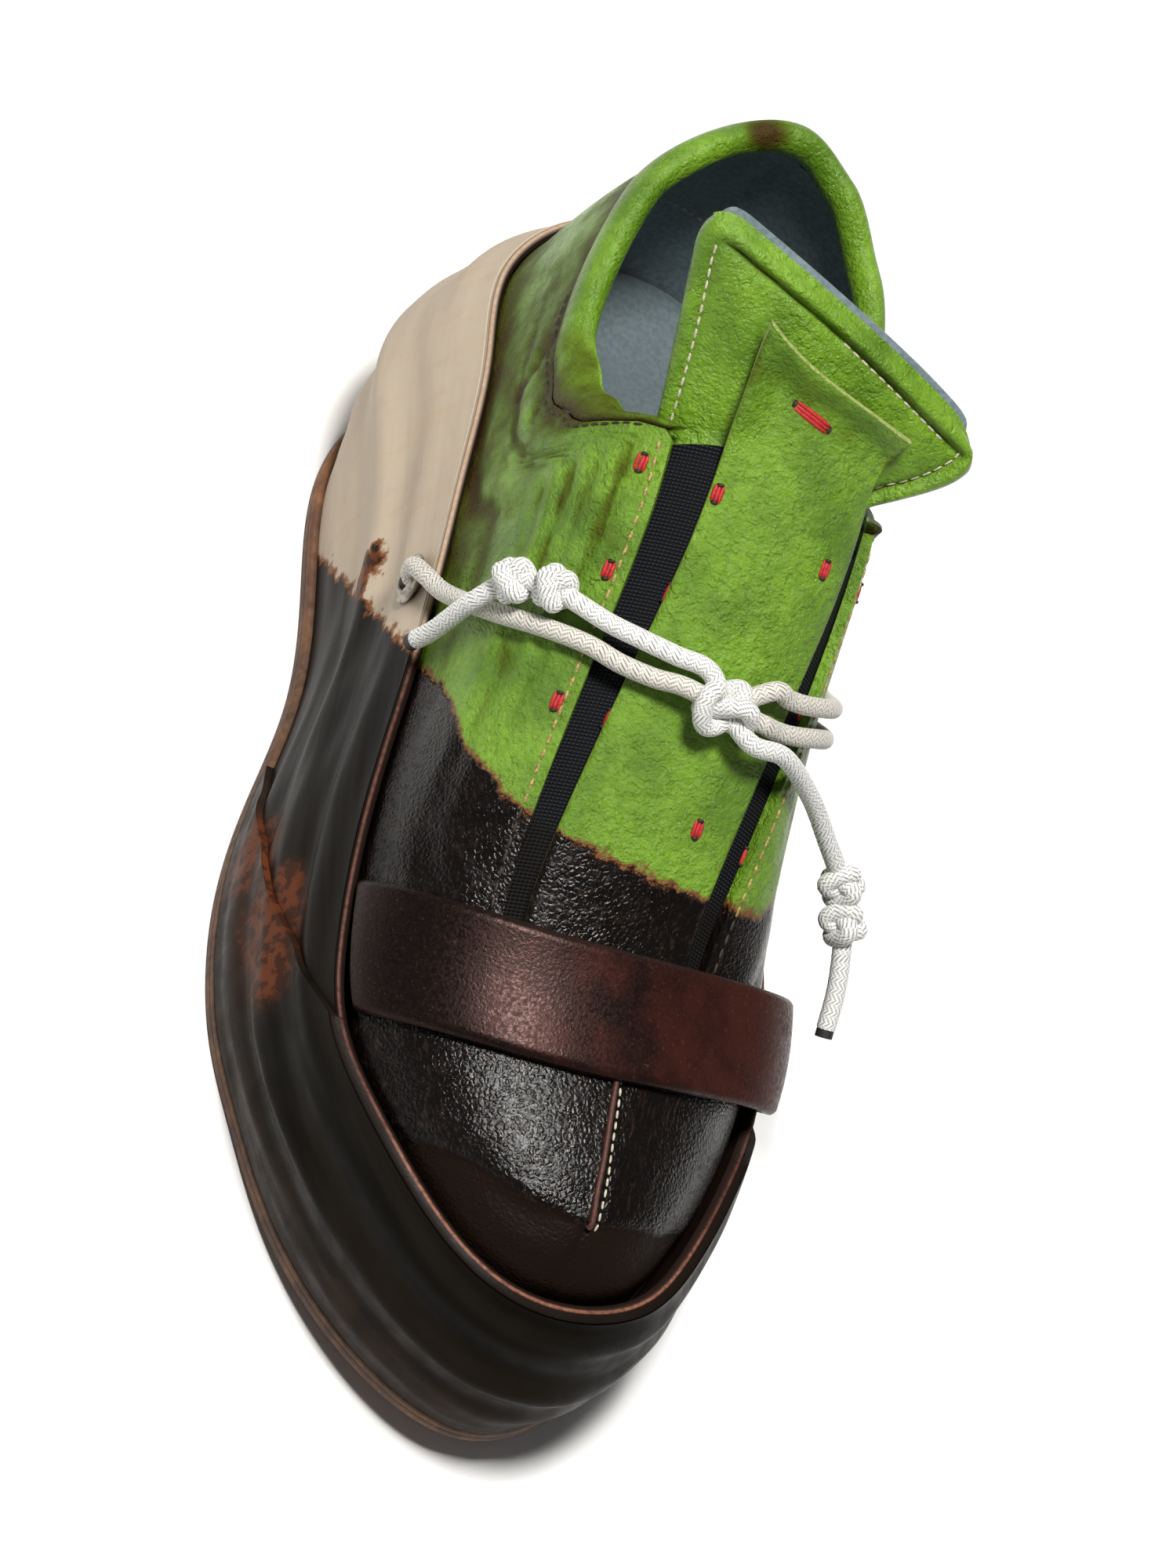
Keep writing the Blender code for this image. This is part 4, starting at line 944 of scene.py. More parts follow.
# Toe seam: height and width of its piping, then depth and width of the groove beside it and of the one ahead
TOE_PIPE = (0.2, 1.3)
PIPE_GROOVE = (0.3, 0.8)
AHEAD_GROOVE = (0.45, 0.8)
GROOVE_OFF = 2.0
TOE_STEP = 0.6
TOE_WRINKLES = 0.13
PLEATS = (0.9, 9.0)  # depth and pitch of the lining's pleats at the heel
# Darkening: share and reach above the rim and below the collar, both painted shade, then shares all over the
# quarters and at the heel, partly olive burnish and partly painted shade, and in creases, painted shade
RIM_SHADE = (0.60, 13)
COLLAR_SHADE = (0.75, 6)
QUARTER_BURNISH_AND_SHADE = 0.22
HEEL_BURNISH_AND_SHADE = 0.14
CREASE_SHADE = 0.9


def crease_relief(points):
    relief = np.zeros(len(points))
    bank_off, bank_width, bank_height = CREASE_BANK
    t = np.linspace(0, 1, CREASE_STEPS)
    for a, low, b, high, width, depth in CREASES.values():
        places = zip(a + t * (b - a), low + t * (high - low))
        trail = np.array([upper_point(s, share * edge_rise(s)) for s, share in places])
        distance = np.full(len(points), np.inf)
        where = np.zeros(len(points))
        for spot, at in zip(trail, t):
            far = apart(points, spot)
            nearer = far < distance
            distance[nearer] = far[nearer]
            where[nearer] = at
        taper = np.sin(math.pi * np.clip(where, 0.02, 0.98)) ** 0.6
        bank = bank_height * bell(distance - bank_off * width, bank_width * width)
        relief += depth * taper * (bank - bell(distance, width))
    return relief


def before_toe_step(points):
    """How far points lie ahead of the crease across the toe."""
    return look_up(TOE_STEP_Y, points[:, 0]) - points[:, 1]


def toe_relief(points):
    """The centre seam of the toe, the step across its tip and the wrinkles beside the step."""
    x, y, z = points.T
    off = x - look_up(TOE_SEAM_X, y)
    ahead = before_toe_step(points)
    beyond = ease(ahead, -1.0, 0.5)
    piped = TOE_PIPE[0] * bell(off, TOE_PIPE[1]) - PIPE_GROOVE[0] * bell(off - GROOVE_OFF, PIPE_GROOVE[1])
    seam = (1 - beyond) * piped - AHEAD_GROOVE[0] * beyond * bell(off, AHEAD_GROOVE[1])
    step = -TOE_STEP * ease(ahead, -0.8, 0.8) * (1 - ease(ahead, 4, 14))
    wrinkles = TOE_WRINKLES * ripple(ahead + 0.12 * x, 2.6, 1.1) * bell(ahead + 4, 6)
    return ease(-y, *SEAM_FADE) * (z > 40) * seam + ease(-y, *TOE_FADE) * (step + wrinkles)


def upper_grid():
    """The upper's face: points, normals, faces, and each point's station and distance from the edge."""
    points, normals, places, columns, index = [], [], [], [], {}
    for station in ROUND:
        edge = edge_rise(station)
        rises = np.linspace(0, edge, EDGE_ROWS + 1)
        on_vamp = folded(station) >= THROAT_END - SMALL
        if on_vamp:
            rises = np.concatenate([rises, np.linspace(edge, 1, VAMP_ROWS + 1)[1:]])
        spots = upper_point(station, rises)
        made = []
        for row, (spot, up) in enumerate(zip(spots, upper_normal(station, rises))):
            on_ridge = row == EDGE_ROWS + VAMP_ROWS
            key = (folded(station), "ridge") if on_ridge else (station, row)
            if key not in index:
                index[key] = len(points)
                points.append(spot)
                normals.append(up)
                places.append((station, 0.0 if on_vamp else np.linalg.norm(spots[EDGE_ROWS] - spot)))
            made.append(index[key])
        columns.append(made)
    faces = []
    for here, there in zip(columns, columns[1:] + columns[:1]):
        for row in range(min(len(here), len(there)) - 1):
            faces.append((here[row], there[row], there[row + 1], here[row + 1]))
    return np.array(points), np.array(normals), faces, np.array(places).T


def build_upper():
    points, normals, faces, (where, below) = upper_grid()
    back = len(points)
    used = set()
    for face in faces:
        used.update(zip(face, face[1:] + face[:1]))
    borders = [(b, a, back + a, back + b) for a, b in used if (b, a) not in used]
    inside = [tuple(back + i for i in reversed(face)) for face in faces]
    lengthwise, above_rim, stations = points[:, 1], points[:, 2] - rim_z(where), folded(where)
    creases = crease_relief(points)
    swell = RIM_CLOSE[0] * bell(above_rim, RIM_CLOSE[1])
    outer = points + (creases + toe_relief(points) + swell)[:, None] * normals
    at_heel = ease(-stations, -2.2, -0.6) * ease(-below, -32, -8)
    pleats = PLEATS[0] * ripple(where * 10, PLEATS[1], 0.4) * at_heel
    inner = points - (WALL + np.maximum(pleats, 0))[:, None] * normals
    quarter = 1 - ease(stations, THROAT_TOP + 1.0, THROAT_TOP + 2.2)
    # Painted shade just above the rim, where the upper meets the cover, and just below the collar roll.
    burn = RIM_SHADE[0] * np.exp(-np.maximum(above_rim, 0) / RIM_SHADE[1]) * ease(lengthwise, -20, 30)
    burn += COLLAR_SHADE[0] * np.exp(-below / COLLAR_SHADE[1]) * (stations < THROAT_TOP - 0.2)
    # Over the quarters, more toward the heel: partly olive burnish, partly painted shade of the quarters'
    # sides.
    burn += (QUARTER_BURNISH_AND_SHADE + HEEL_BURNISH_AND_SHADE * ease(lengthwise, 5, 55)) * quarter
    # Painted shade in the creases, as deep as they are.
    burn += CREASE_SHADE * np.clip(-creases, 0, 1)
    matt = ease(before_toe_step(points), -0.6, 0.8) * ease(-lengthwise, *TOE_FADE)
    values = {"dye": twice(dye_depth(points)), "burn": twice(burn), "matt": twice(matt)}
    kinds = [0] * len(faces) + [1] * len(inside) + [0] * len(borders)
    return add_piece("upper_leather", np.concatenate([outer, inner]), faces + inside + borders,
                     [UPPER, LINING], ["upper"], "upper_green", kinds, values)


# Outline of the collar roll: out from the wall, and up from the seam as a share of its height
ROLL_SECTION = [(0.0, 0.0), (1.0, 0.22), (1.3, 0.52), (0.6, 0.82), (-1.4, 1.0), (-3.4, 0.92), (-4.8, 0.70)]
ROLL_SECTION += [(-5.0, 0.40), (-3.8, 0.14), (-2.2, 0.0)]
ROLL_POINTS = 30
ROLL_FRONT = 3.3  # station from which the roll flattens toward the throat
ROLL_SLIM = 0.45
ROLL_LEAN = 2.5
ROLL_PUFF = (0.03, 17.0)  # share and pitch of its uneven thickness
ROLL_WRINKLE = (0.22, 4.3)  # depth and pitch of the wrinkles beside the throat
ROLL_SEAM_SHADE = 0.22  # share of the roll's height over which the painted shade along the seam fades
ROLL_OUTSIDE = -2  # the roll's face lies further out than this
ROLL_SHADE_AND_WEAR = (0.75, 0.6, 1.4, 0.10)  # along the seam, painted shade where the roll meets the upper, darker beside the throat, at the scuff and all over
SCUFF = (-7.2, 111.3, 119.2)
SCUFF_SIZE = 4.5
FAR_FROM_DYE = -60.0


def build_collar():
    out_of = closed_spline([out for out, _ in ROLL_SECTION])
    up_of = closed_spline([up for _, up in ROLL_SECTION])
    turn = np.arange(ROLL_POINTS) / ROLL_POINTS * len(ROLL_SECTION)
    outs, ups = out_of(turn), np.clip(up_of(turn), 0, 1.03)
    outside = outs > ROLL_OUTSIDE
    top = round(THROAT_TOP * FINE)
    rings, burn = [], []
    for step in range(-top, top + 1):
        station = -step / FINE % TURNS
        along = abs(step) / FINE
        rise = edge_rise(station)
        climb = unit_of(upper_point(station, rise + 0.01) - upper_point(station, rise - 0.01))
        front = max(0.0, (along - ROLL_FRONT) / (THROAT_TOP - ROLL_FRONT))
        slim = 1 - (1 - ROLL_SLIM) * front
        lean = ROLL_LEAN * 4 * front * (1 - front)
        inward = np.where(outs < -WALL, np.minimum(slim * outs, -WALL), outs)
        puff = 1 + ROLL_PUFF[0] * ripple(step, ROLL_PUFF[1], 2.0)
        wrinkle = ROLL_WRINKLE[0] * ripple(step, ROLL_WRINKLE[1], 0.9) * ease(along, 3.0, 3.8)
        out = puff * inward - lean * ups**2 + wrinkle * np.sin(math.pi * np.clip(ups, 0, 1))
        up = GAP + ups * look_up(ROLL, along)
        ring = upper_point(station, rise) + out[:, None] * upper_normal(station, rise) + up[:, None] * climb
        rings.append(ring)
        # Painted shade along the roll's foot where it meets the upper, darker toward the throat, a scuff and
        # a tone all over.
        darkenings = (np.exp(-ups / ROLL_SEAM_SHADE) * outside, ease(along, 3.0, 4.0) * outside)
        darkenings += (bell(apart(ring, SCUFF), SCUFF_SIZE), 1.0)
        burn.append(sum(share * place for share, place in zip(ROLL_SHADE_AND_WEAR, darkenings)))
    points = np.concatenate(rings)
    faces = tube_faces(len(rings), ROLL_POINTS)
    values = {"burn": np.concatenate(burn), "dye": np.full(len(points), FAR_FROM_DYE)}
    piece = add_piece("collar_roll", points, faces, [PAD], ["collar"], "collar_green", values=values)


# Tongue: a padded sheet, its top and medial edges rolled, its lateral edge a plain fold
TONGUE_LATERAL = np.array([-36.1, 64.5, 152.5])
TONGUE_MEDIAL = np.array([39.5, 45.1, 135.5])
TONGUE_CROWN = np.array([0.0, -2.5, 4.0])
TONGUE_BOW = np.array([3.4, -2.4, 0.0])
TONGUE_DIP = [(4.6, 3.4), (5.6, 0.0)]
TONGUE_END = 8.0
CORNER_SHARE = 0.26
CORNER_RISE = 0.20
TOP_BACK = 0.965  # how far up the free tongue its green face goes
TONGUE_RIM = 4.2
TONGUE_ROUND = 2.6
TONGUE_COLUMNS = 71
THROAT_ROWS = 26
FREE_ROWS = 46
CHANNEL_WIDTH = 0.9
CHANNEL_OFF = 0.5  # how far past the rolled rim its stitched channel lies
RIM_HIGH, PAD_HIGH = 1.1, 0.5
# Depths of the channel, of the lateral seam, of the edges in front and behind, and of the dents
CHANNEL_DEEP, SEAM_DEEP, EDGE_FALL, BACK_FALL, DENTS = 0.9, 0.5, 0.9, 0.7, 0.25
TONGUE_TONE_AND_SHADE = (0.06, 0.55, 0.3)  # all over, and painted shade in the channel and in the seam
LINING_SHOWS = 2.3  # how far the lining stands past the top edge
# Over the top edge: share of the way back, bulge, and share of the lining's height
TOP_ROLL = [(0.10, 0.55, 0.0), (0.22, 0.85, 0.0), (0.34, 0.6, 0.0)]
TOP_ROLL += [(0.44, -0.2, 0.0), (0.50, 0.0, 0.4), (0.58, 0.0, 0.9)]
GREEN_ROLL = 4  # rows of it that are green


def round_corner(shares, t):
    """Moves spots of the free tongue so that its two top corners are round."""
    u = np.maximum(0.0, (np.abs(shares) - 1) / CORNER_SHARE + 1)
    v = np.maximum(0.0, (t - 1) / CORNER_RISE + 1)
    moved = shares - np.copysign(CORNER_SHARE * u * (1 - np.sqrt(1 - v * v / 2)), shares)
    return moved, t - CORNER_RISE * v * (1 - np.sqrt(1 - u * u / 2))


def tongue_half(station, shares):
    lateral, medial = (look_up(UNDERLAP[side], station) for side in ("lateral", "medial"))
    return look_up(THROAT, station) + np.where(shares < 0, lateral, medial)


def under_gores(station, shares):
    """Outer face of the tongue in the throat, its edges dipping to pass inside the collar."""
    depth = WALL + GORE + 2 * GAP + look_up(TONGUE_DIP, station) * shares**2
    return across(station, shares * tongue_half(station, shares), -depth)


def free_tongue(shares, t):
    """Outer face of the free tongue, from the top of the throat (0) to its top edge (1)."""
    low = under_gores(THROAT_TOP, shares)
    high = TONGUE_LATERAL + (TONGUE_MEDIAL - TONGUE_LATERAL) * ((shares + 1) / 2)[:, None]
    high = high + TONGUE_CROWN * (1 - shares**2)[:, None]
    swing = 27 / 4 * t**2 * (1 - t) * np.maximum(0.0, shares) ** 3
    return low + t[:, None] * (high - low) + TONGUE_BOW * swing[:, None]


def build_tongue():
    """Returns the tongue with its free face and the distances from two of that face's edges."""
    shares = closer_at_ends(TONGUE_COLUMNS)
    rows = [under_gores(station, shares) for station in np.linspace(TONGUE_END, THROAT_TOP, THROAT_ROWS)]
    square = list(rows)
    for step in np.arange(1, FREE_ROWS + 1) / FREE_ROWS:
        height = np.full(TONGUE_COLUMNS, step * (1.35 - 0.35 * step))
        rounded_shares, rounded_height = round_corner(shares, height)
        rows.append(free_tongue(rounded_shares, TOP_BACK * rounded_height))
        square.append(free_tongue(shares, TOP_BACK * height))
    face = np.array(rows)
    normals = grid_normals(np.array(square))
    free = np.clip((np.arange(len(face)) - (THROAT_ROWS - 1)) / FREE_ROWS, 0, 1)[:, None]
    to_lateral = lengths_along(face, 1)
    climb = lengths_along(face, 0)
    to_top = climb[-1:] - climb
    rim = np.minimum(to_lateral[:, -1:] - to_lateral, to_top)
    edge = np.minimum(rim, to_lateral)
    shown = ease(free, 0.0, 0.12)
    rolled = shown * ease(to_lateral, 2.0, 9.0)
    channel = rolled * bell(rim - TONGUE_RIM - CHANNEL_OFF, CHANNEL_WIDTH)
    seam = shown * ease(rim, 4.0, 9.0) * bell(to_lateral - TONGUE_RIM, CHANNEL_WIDTH)
    near = np.clip(edge / TONGUE_ROUND, 0, 1)
    fall = TONGUE_ROUND * (1 - np.sqrt(1 - (1 - near) ** 2))
    padding = PAD_HIGH * ease(edge, TONGUE_RIM, TONGUE_RIM + 9)
    dents = DENTS * ripple(to_lateral + 0.4 * climb, 15.0, 0.7)
    lift = RIM_HIGH * rolled * half_round(rim, TONGUE_RIM) * near
    lift = lift - CHANNEL_DEEP * channel - SEAM_DEEP * seam
    lift = lift + shown * (padding - EDGE_FALL * fall + dents * near)
    depth = TONGUE + (TONGUE_FREE - TONGUE) * free - shown * BACK_FALL * fall
    outer = face + lift[..., None] * normals
    inner = face - depth[..., None] * normals
    upward = unit_of(np.cross(normals[-1], np.gradient(face[-1], axis=0)))
    upward *= np.sign(np.sum(upward * (face[-1] - face[-6]), axis=1, keepdims=True))
    past = (LINING_SHOWS * ease(1 - np.abs(shares), 0.0, 0.14))[:, None] * upward
    over_top, behind = [], []
    for share, bulge, stands in TOP_ROLL:
        over_top.append(outer[-1] + share * (inner[-1] - outer[-1]) + bulge * upward + stands * past)
        behind.append(inner[-1] + share * past)
    sheet = np.concatenate([outer, over_top])
    points, faces, kinds = slab(sheet, np.concatenate([inner, behind]))
    # Painted shade in the stitched channel and in the lateral seam, over a faint tint all over.
    plain, in_channel, in_seam = TONGUE_TONE_AND_SHADE
    extra = np.zeros((len(over_top), TONGUE_COLUMNS))
    burn = np.concatenate([plain + in_channel * channel + in_seam * seam, extra])
    values = {"burn": twice(burn), "dye": twice(dye_depth(sheet))}
    across_edge, up_edge = TONGUE_COLUMNS - 1, len(sheet) - 1
    kinds[-2 * (across_edge + up_edge):] = [0] * (across_edge + up_edge) + [1] * across_edge + [0] * up_edge
    lined = (len(outer) - 1 + GREEN_ROLL) * across_edge
    kinds[lined:up_edge * across_edge] = [1] * (up_edge * across_edge - lined)
    piece = add_piece("tongue_pad", points, faces, [PAD, LINING], ["tongue"], "tongue_green", kinds, values,
                      SOFT)
    return piece, outer[THROAT_ROWS:], to_lateral[THROAT_ROWS:], to_top[THROAT_ROWS:]


# Instep strip: fixed down the throat, its flap free on the tongue
STRIP_COLUMNS = 37
STRIP_ROWS = 44
STRIP_END = 8.25
FLAP_ROWS = 24
FLAP_SHARE = {"lateral": 0.475, "medial": 0.575}  # the flap's corners across the free tongue
FLAP_MIDDLE, FLAP_RISE, FLAP_SLANT = 0.545, 0.115, 0.035  # where its top edge lies up the free tongue
FLAP_CURL = 3.6
FLAP_GAPE = 3.4
CALM_ROUNDS, CALM_ROWS = 14, 9  # how often and how far the bend above the throat is evened out
STRIP_ROUND = 0.5
STRIP_TONE_AND_SHADE = (0.06, 0.40, 0.3)  # all over, painted shade across the flap where it bends up, and darker along both edges
FLAP_SHADE_AT, FLAP_SHADE_WIDTH = 7, 5


def settled_rows(grid):
    """Evens out the rows of a grid where the strip leaves the throat."""
    bend = slice(len(grid) - FLAP_ROWS - CALM_ROWS, len(grid) - FLAP_ROWS + CALM_ROWS)
    for _ in range(CALM_ROUNDS):
        calm = grid.copy()
        calm[1:-1] = (grid[:-2] + 2 * grid[1:-1] + grid[2:]) / 4
        grid = grid.copy()
        grid[bend] = calm[bend]
    return grid


def build_strip():
    spots = closer_at_ends(STRIP_COLUMNS)
    outer, inner = [], []
    for station in np.linspace(STRIP_END, THROAT_TOP, STRIP_ROWS):
        half = look_up(STRIP, station)
        outer.append(across(station, spots * half, 0.0))
        inner.append(across(station, spots * half, -WALL))
    start = spots * look_up(STRIP, THROAT_TOP) / tongue_half(THROAT_TOP, spots)
    end = spots * np.where(spots < 0, FLAP_SHARE["lateral"], FLAP_SHARE["medial"])
    height = FLAP_MIDDLE + FLAP_RISE * spots**2 - FLAP_SLANT * spots
    steps = np.append(np.linspace(0.10, 0.982, FLAP_ROWS - 1), 1.0)
    base = np.array([free_tongue(start + step * (end - start), step * height) for step in steps])
    for step, row, up in zip(steps, base, grid_normals(base)):
        curl = FLAP_CURL * ease(step, 0.55, 1.0) * (1 - 0.3 * spots)
        gape = FLAP_GAPE * ease(-spots, 0.6, 1.0) * math.sin(math.pi * min(1.0, 1.2 * step))
        hold = (GORE + GAP + TONGUE_DIP[0][1] * start**2) * (1 - ease(step, 0.0, 0.75))
        lift = GAP + hold + np.maximum(curl + gape, 0)
        inner.append(row + lift[:, None] * up)
        outer.append(row + (WALL + lift)[:, None] * up)
    outer, inner = settled_rows(np.array(outer)), settled_rows(np.array(inner))
    rounding = STRIP_ROUND * ease(np.abs(spots), 0.955, 1.0)
    outer = outer - rounding[None, :, None] * grid_normals(outer)
    points, faces, kinds = slab(outer, inner)
    length = lengths_along(outer, 0)
    # Painted shade across the flap where it bends up from the light, darker along both edges, and a faint
    # tint all over.
    plain, on_flap, at_edges = STRIP_TONE_AND_SHADE
    burn = plain + on_flap * bell(length[-1:] - length - FLAP_SHADE_AT, FLAP_SHADE_WIDTH)
    burn = burn + at_edges * ease(np.abs(spots), 0.9, 1.0)[None, :]
    values = {"burn": twice(burn), "dye": twice(dye_depth(outer))}
    # The cut edges take the light edge colour with its painted highlight.
    cut_edge = [1 if kind == 2 else 0 for kind in kinds]
    top_row = (len(outer) - 2) * (STRIP_COLUMNS - 1)
    cut_edge[top_row:top_row + STRIP_COLUMNS - 1] = [1] * (STRIP_COLUMNS - 1)
    return add_piece("strip_leather", points, faces, [UPPER, CUT_EDGE_HIGHLIT], ["instep_strip"], "upper_green",
                     cut_edge, values)


GORE_END = 8.2
GORE_ROWS = 60
GORE_COLUMNS = 12
GORE_OVERLAP = 3.5
HEM = 4.0
HEM_HIGH = 0.5


def build_gores():
    for side, sign in (("lateral", -1), ("medial", 1)):
        grids = []
        for lift in (-(WALL + GAP), -(WALL + GAP + GORE)):
            rows = []
            for station in np.linspace(GORE_END, THROAT_TOP + 0.1, GORE_ROWS):
                near = look_up(STRIP, station) - GORE_OVERLAP
                far = look_up(THROAT, station) + GORE_OVERLAP
                rows.append(across(station, sign * np.linspace(near, far, GORE_COLUMNS), lift))
            grids.append(np.array(rows))
        face, back = grids
        length = lengths_along(face, 0)
        hem = HEM_HIGH * half_round(length[-1:] - length, HEM)
        points, faces, _ = slab(face - sign * hem[..., None] * grid_normals(face), back)
        lay = np.stack([length, lengths_along(face, 1), 0 * length], -1)
        values = {"lay": np.tile(lay.reshape(-1, 3), (2, 1)), "dye": twice(dye_depth(face))}
        add_piece("gore_" + side, points, faces, [ELASTIC], ["elastic_gore_" + side], "elastic_black",
                  values=values)


# Strap: where its two edges lie along Y at the lateral rim, the ridge and the medial end
STRAP_TOP = (-43.0, -54.0, -35.0)
STRAP_LOW = (-69.5, -78.0, -57.5)
STRAP_LIFT = 0.4
STRAP_SKIN_DEPTH = STRAP - 0.2
STRAP_STAND = 4.7
STRAP_STAND_FROM, STRAP_STAND_OVER = 0.45, 0.40  # shares of the way to the medial end
STRAP_ABOVE_RIM = 0.8
STRAP_DROP = 5.0
STRAP_SWELL = 0.35
STRAP_STATIONS = np.linspace(6.5, 11.0, 19)
STRAP_ROWS = 57
STRAP_COLUMNS = 25


def through_three(values, share):
    lateral, middle, medial = values
    return middle + (medial - lateral) / 2 * share + ((medial + lateral) / 2 - middle) * share**2


def strap_spot(station, share):
    """A spot on the upper at a share of the way from the ridge to the strap's end."""
    side = station if share <= 0 else TURNS - station
    end = float(rim_z(side)) + (STRAP_ABOVE_RIM if share <= 0 else -STRAP_DROP)
    line = upper_point(side, np.linspace(1, rise_at_height(side, end), 60))
    return side, float(rise_at_distance(side, abs(share) * lengths_along(line, 0)[-1]))


def build_strap():
    over = closer_at_ends(STRAP_COLUMNS)
    outer, inner = [], []
    ways = np.linspace(-1, 1, STRAP_ROWS)
    for share in ways:
        spots = [strap_spot(station, share) for station in STRAP_STATIONS]
        along = np.array([upper_point(side, rise)[1] for side, rise in spots])
        top, low = through_three(STRAP_TOP, share), through_three(STRAP_LOW, share)
        stand = STRAP_STAND * np.clip((share - STRAP_STAND_FROM) / STRAP_STAND_OVER, 0, 1) ** 1.5
        places = []
        for y in top + (low - top) * (over / 2 + 0.5):
            places.append(strap_spot(float(np.interp(-y, -along, STRAP_STATIONS)), share))
        bases = np.array([upper_point(*place) for place in places])
        ups = np.array([upper_normal(*place) for place in places])
        rounding = 0.8 * ease(np.abs(over), 0.93, 1.0) + 0.4 * ease(abs(share), 0.985, 1.0)
        swell = STRAP_SWELL * (1 - over**2)
        outer.append(bases + (STRAP_LIFT + STRAP_SKIN_DEPTH + stand + swell - rounding)[:, None] * ups)
        inner.append(bases + (STRAP_LIFT + stand) * ups)
    points, faces, _ = slab(np.array(outer), np.array(inner))
    rim = np.tile(ease(np.abs(over), 0.9, 1.0), STRAP_ROWS)
    values = {
        "edge": np.concatenate([0.7 * rim, np.ones(rim.size)]),
        "way": twice(np.repeat((ways + 1) / 2, STRAP_COLUMNS)),
    }
    add_piece("strap_leather_band", points, faces, [STRAP_SKIN], ["vamp_strap"], "strap_brown",
              values=values)


# Lace: a braided cord from eyelet to eyelet, a knot over the strip and two free ends with twin knots.
# Each row of a route gives a station, the distance from the ridge, lateral negative, and the lift.
CORD = 3.9
STRANDS = 12
STRAND_PITCH = 1.2
CORD_SIDES = 48
CORD_STEP = 0.34
SEALED_TIP = 1.8
CORD_LEAST, CORD_WEAVE, CORD_SEALED = 0.94, 0.07, 0.92  # shares of its radius
KNOT_MIDDLE = np.array([3.0, -14.17, 103.62])
KNOT_HALF = np.array([7.6, 5.4, 5.0])
KNOT_LOOSE = 1.08
KNOT_POINTS = 190
TWIN_HALF = np.array([4.9, 4.6, 4.4])
LACE_BARS = {
    "lace_bar_lateral": [
        (5.06, -86.5, 5.4), (5.25, -79.5, 3.2), (5.51, -66.6, 2.4), (5.81, -50.4, 2.4), (6.01, -38.1, 2.4),
        (6.16, -28.0, 2.4), (6.28, -20.5, 2.6), (6.34, -13.5, 3.2), (6.35, -7.6, 4.8),
    ],
    "lace_bar_medial_front": [
        (5.12, 75.0, 6.0), (5.20, 68.0, 3.6), (5.36, 60.0, 2.4), (5.62, 49.0, 2.4), (5.90, 37.0, 2.4),
        (6.14, 26.1, 2.4), (6.30, 18.0, 2.6), (6.36, 13.0, 3.4), (6.38, 8.9, 5.0),
    ],
    "lace_bar_medial_back": [
        (4.90, 75.0, 6.0), (4.96, 68.0, 3.6), (5.12, 60.0, 2.4), (5.40, 49.0, 2.4), (5.68, 37.0, 2.4),
        (5.92, 26.1, 2.4), (6.08, 18.0, 2.6), (6.14, 13.0, 3.2), (6.16, 8.4, 4.6),
    ],
}
LACE_ENDS = {
    "lace_end_lateral": [
        (6.21, -5.1, 5.8), (6.17, -12.0, 5.6), (6.11, -18.6, 5.0), (6.02, -25.6, 4.8), (5.88, -32.8, 5.0),
        (5.76, -38.4, 5.4), (5.66, -47.0, 6.9), (5.72, -54.5, 7.4), (5.74, -61.0, 6.6), (5.73, -68.0, 5.8),
        (5.70, -76.0, 6.2),
    ],
    "lace_end_medial": [
        (6.53, 7.7, 6.8), (6.47, 16.4, 5.2), (6.43, 31.3, 3.7), (6.47, 41.9, 7.4), (6.63, 49.4, 13.0),
        (6.86, 51.5, 14.7), (7.06, 53.2, 15.5), (7.28, 55.2, 15.6), (7.54, 57.3, 14.7),
    ],
}
KNOTTED = {"lace_end_lateral": (5, 6), "lace_end_medial": (4, 5)}  # rows of the route that carry a knot
# Through an eyelet: out along its axis, up, and the share of the second bar's shift
EYELET_PASS = [(-4.5, 0.0, 1.0), (1.2, 0.6, 1.0), (2.7, 4.4, 1.5)]
SECOND_BAR = np.array([0.0, 1.0, 0.4])


def on_upper(rows):
    return [across(station, np.array([distance]), lift)[0] for station, distance, lift in rows]


def smooth_route(points, spacing):
    """Even points on a smooth curve through the route, and its length."""
    route = np.array(points, float)
    before = np.concatenate([2 * route[:1] - route[1:2], route[:-1]])
    after = np.concatenate([route[1:], 2 * route[-1:] - route[-2:-1]])
    slope = (after - before) / 2
    t = np.linspace(0, 1, 40)[:, None]
    fine = [route[:1]]
    for i in range(len(route) - 1):
        part = (2 * t**3 - 3 * t**2 + 1) * route[i] + (t**3 - 2 * t**2 + t) * slope[i]
        part = part + (3 * t**2 - 2 * t**3) * route[i + 1] + (t**3 - t**2) * slope[i + 1]
        fine.append(part[1:])
    fine = np.concatenate(fine)
    run = lengths_along(fine, 0)
    even = np.linspace(0, run[-1], max(2, round(run[-1] / spacing)) + 1)
    return np.stack([np.interp(even, run, fine[:, i]) for i in range(3)], -1), run[-1]


def tube_rings(path, sides):
    """Unit circles square to a path, turned as little as can be from one to the next."""
    forward = unit_of(np.gradient(path, axis=0))
    first = unit_of(np.cross(forward[0], (0.31, 0.52, 0.8)))
    angles = 2 * math.pi * np.arange(sides) / sides
    circles = []
    for ahead in forward:
        first = unit_of(first - np.dot(first, ahead) * ahead)
        second = np.cross(ahead, first)
        circles.append(np.cos(angles)[:, None] * first + np.sin(angles)[:, None] * second)
    return np.array(circles), angles


def tube_faces(count, sides):
    last = (count - 1) * sides
    return grid_faces(count, sides, closed=True) + [tuple(range(sides)), tuple(range(last, last + sides))]


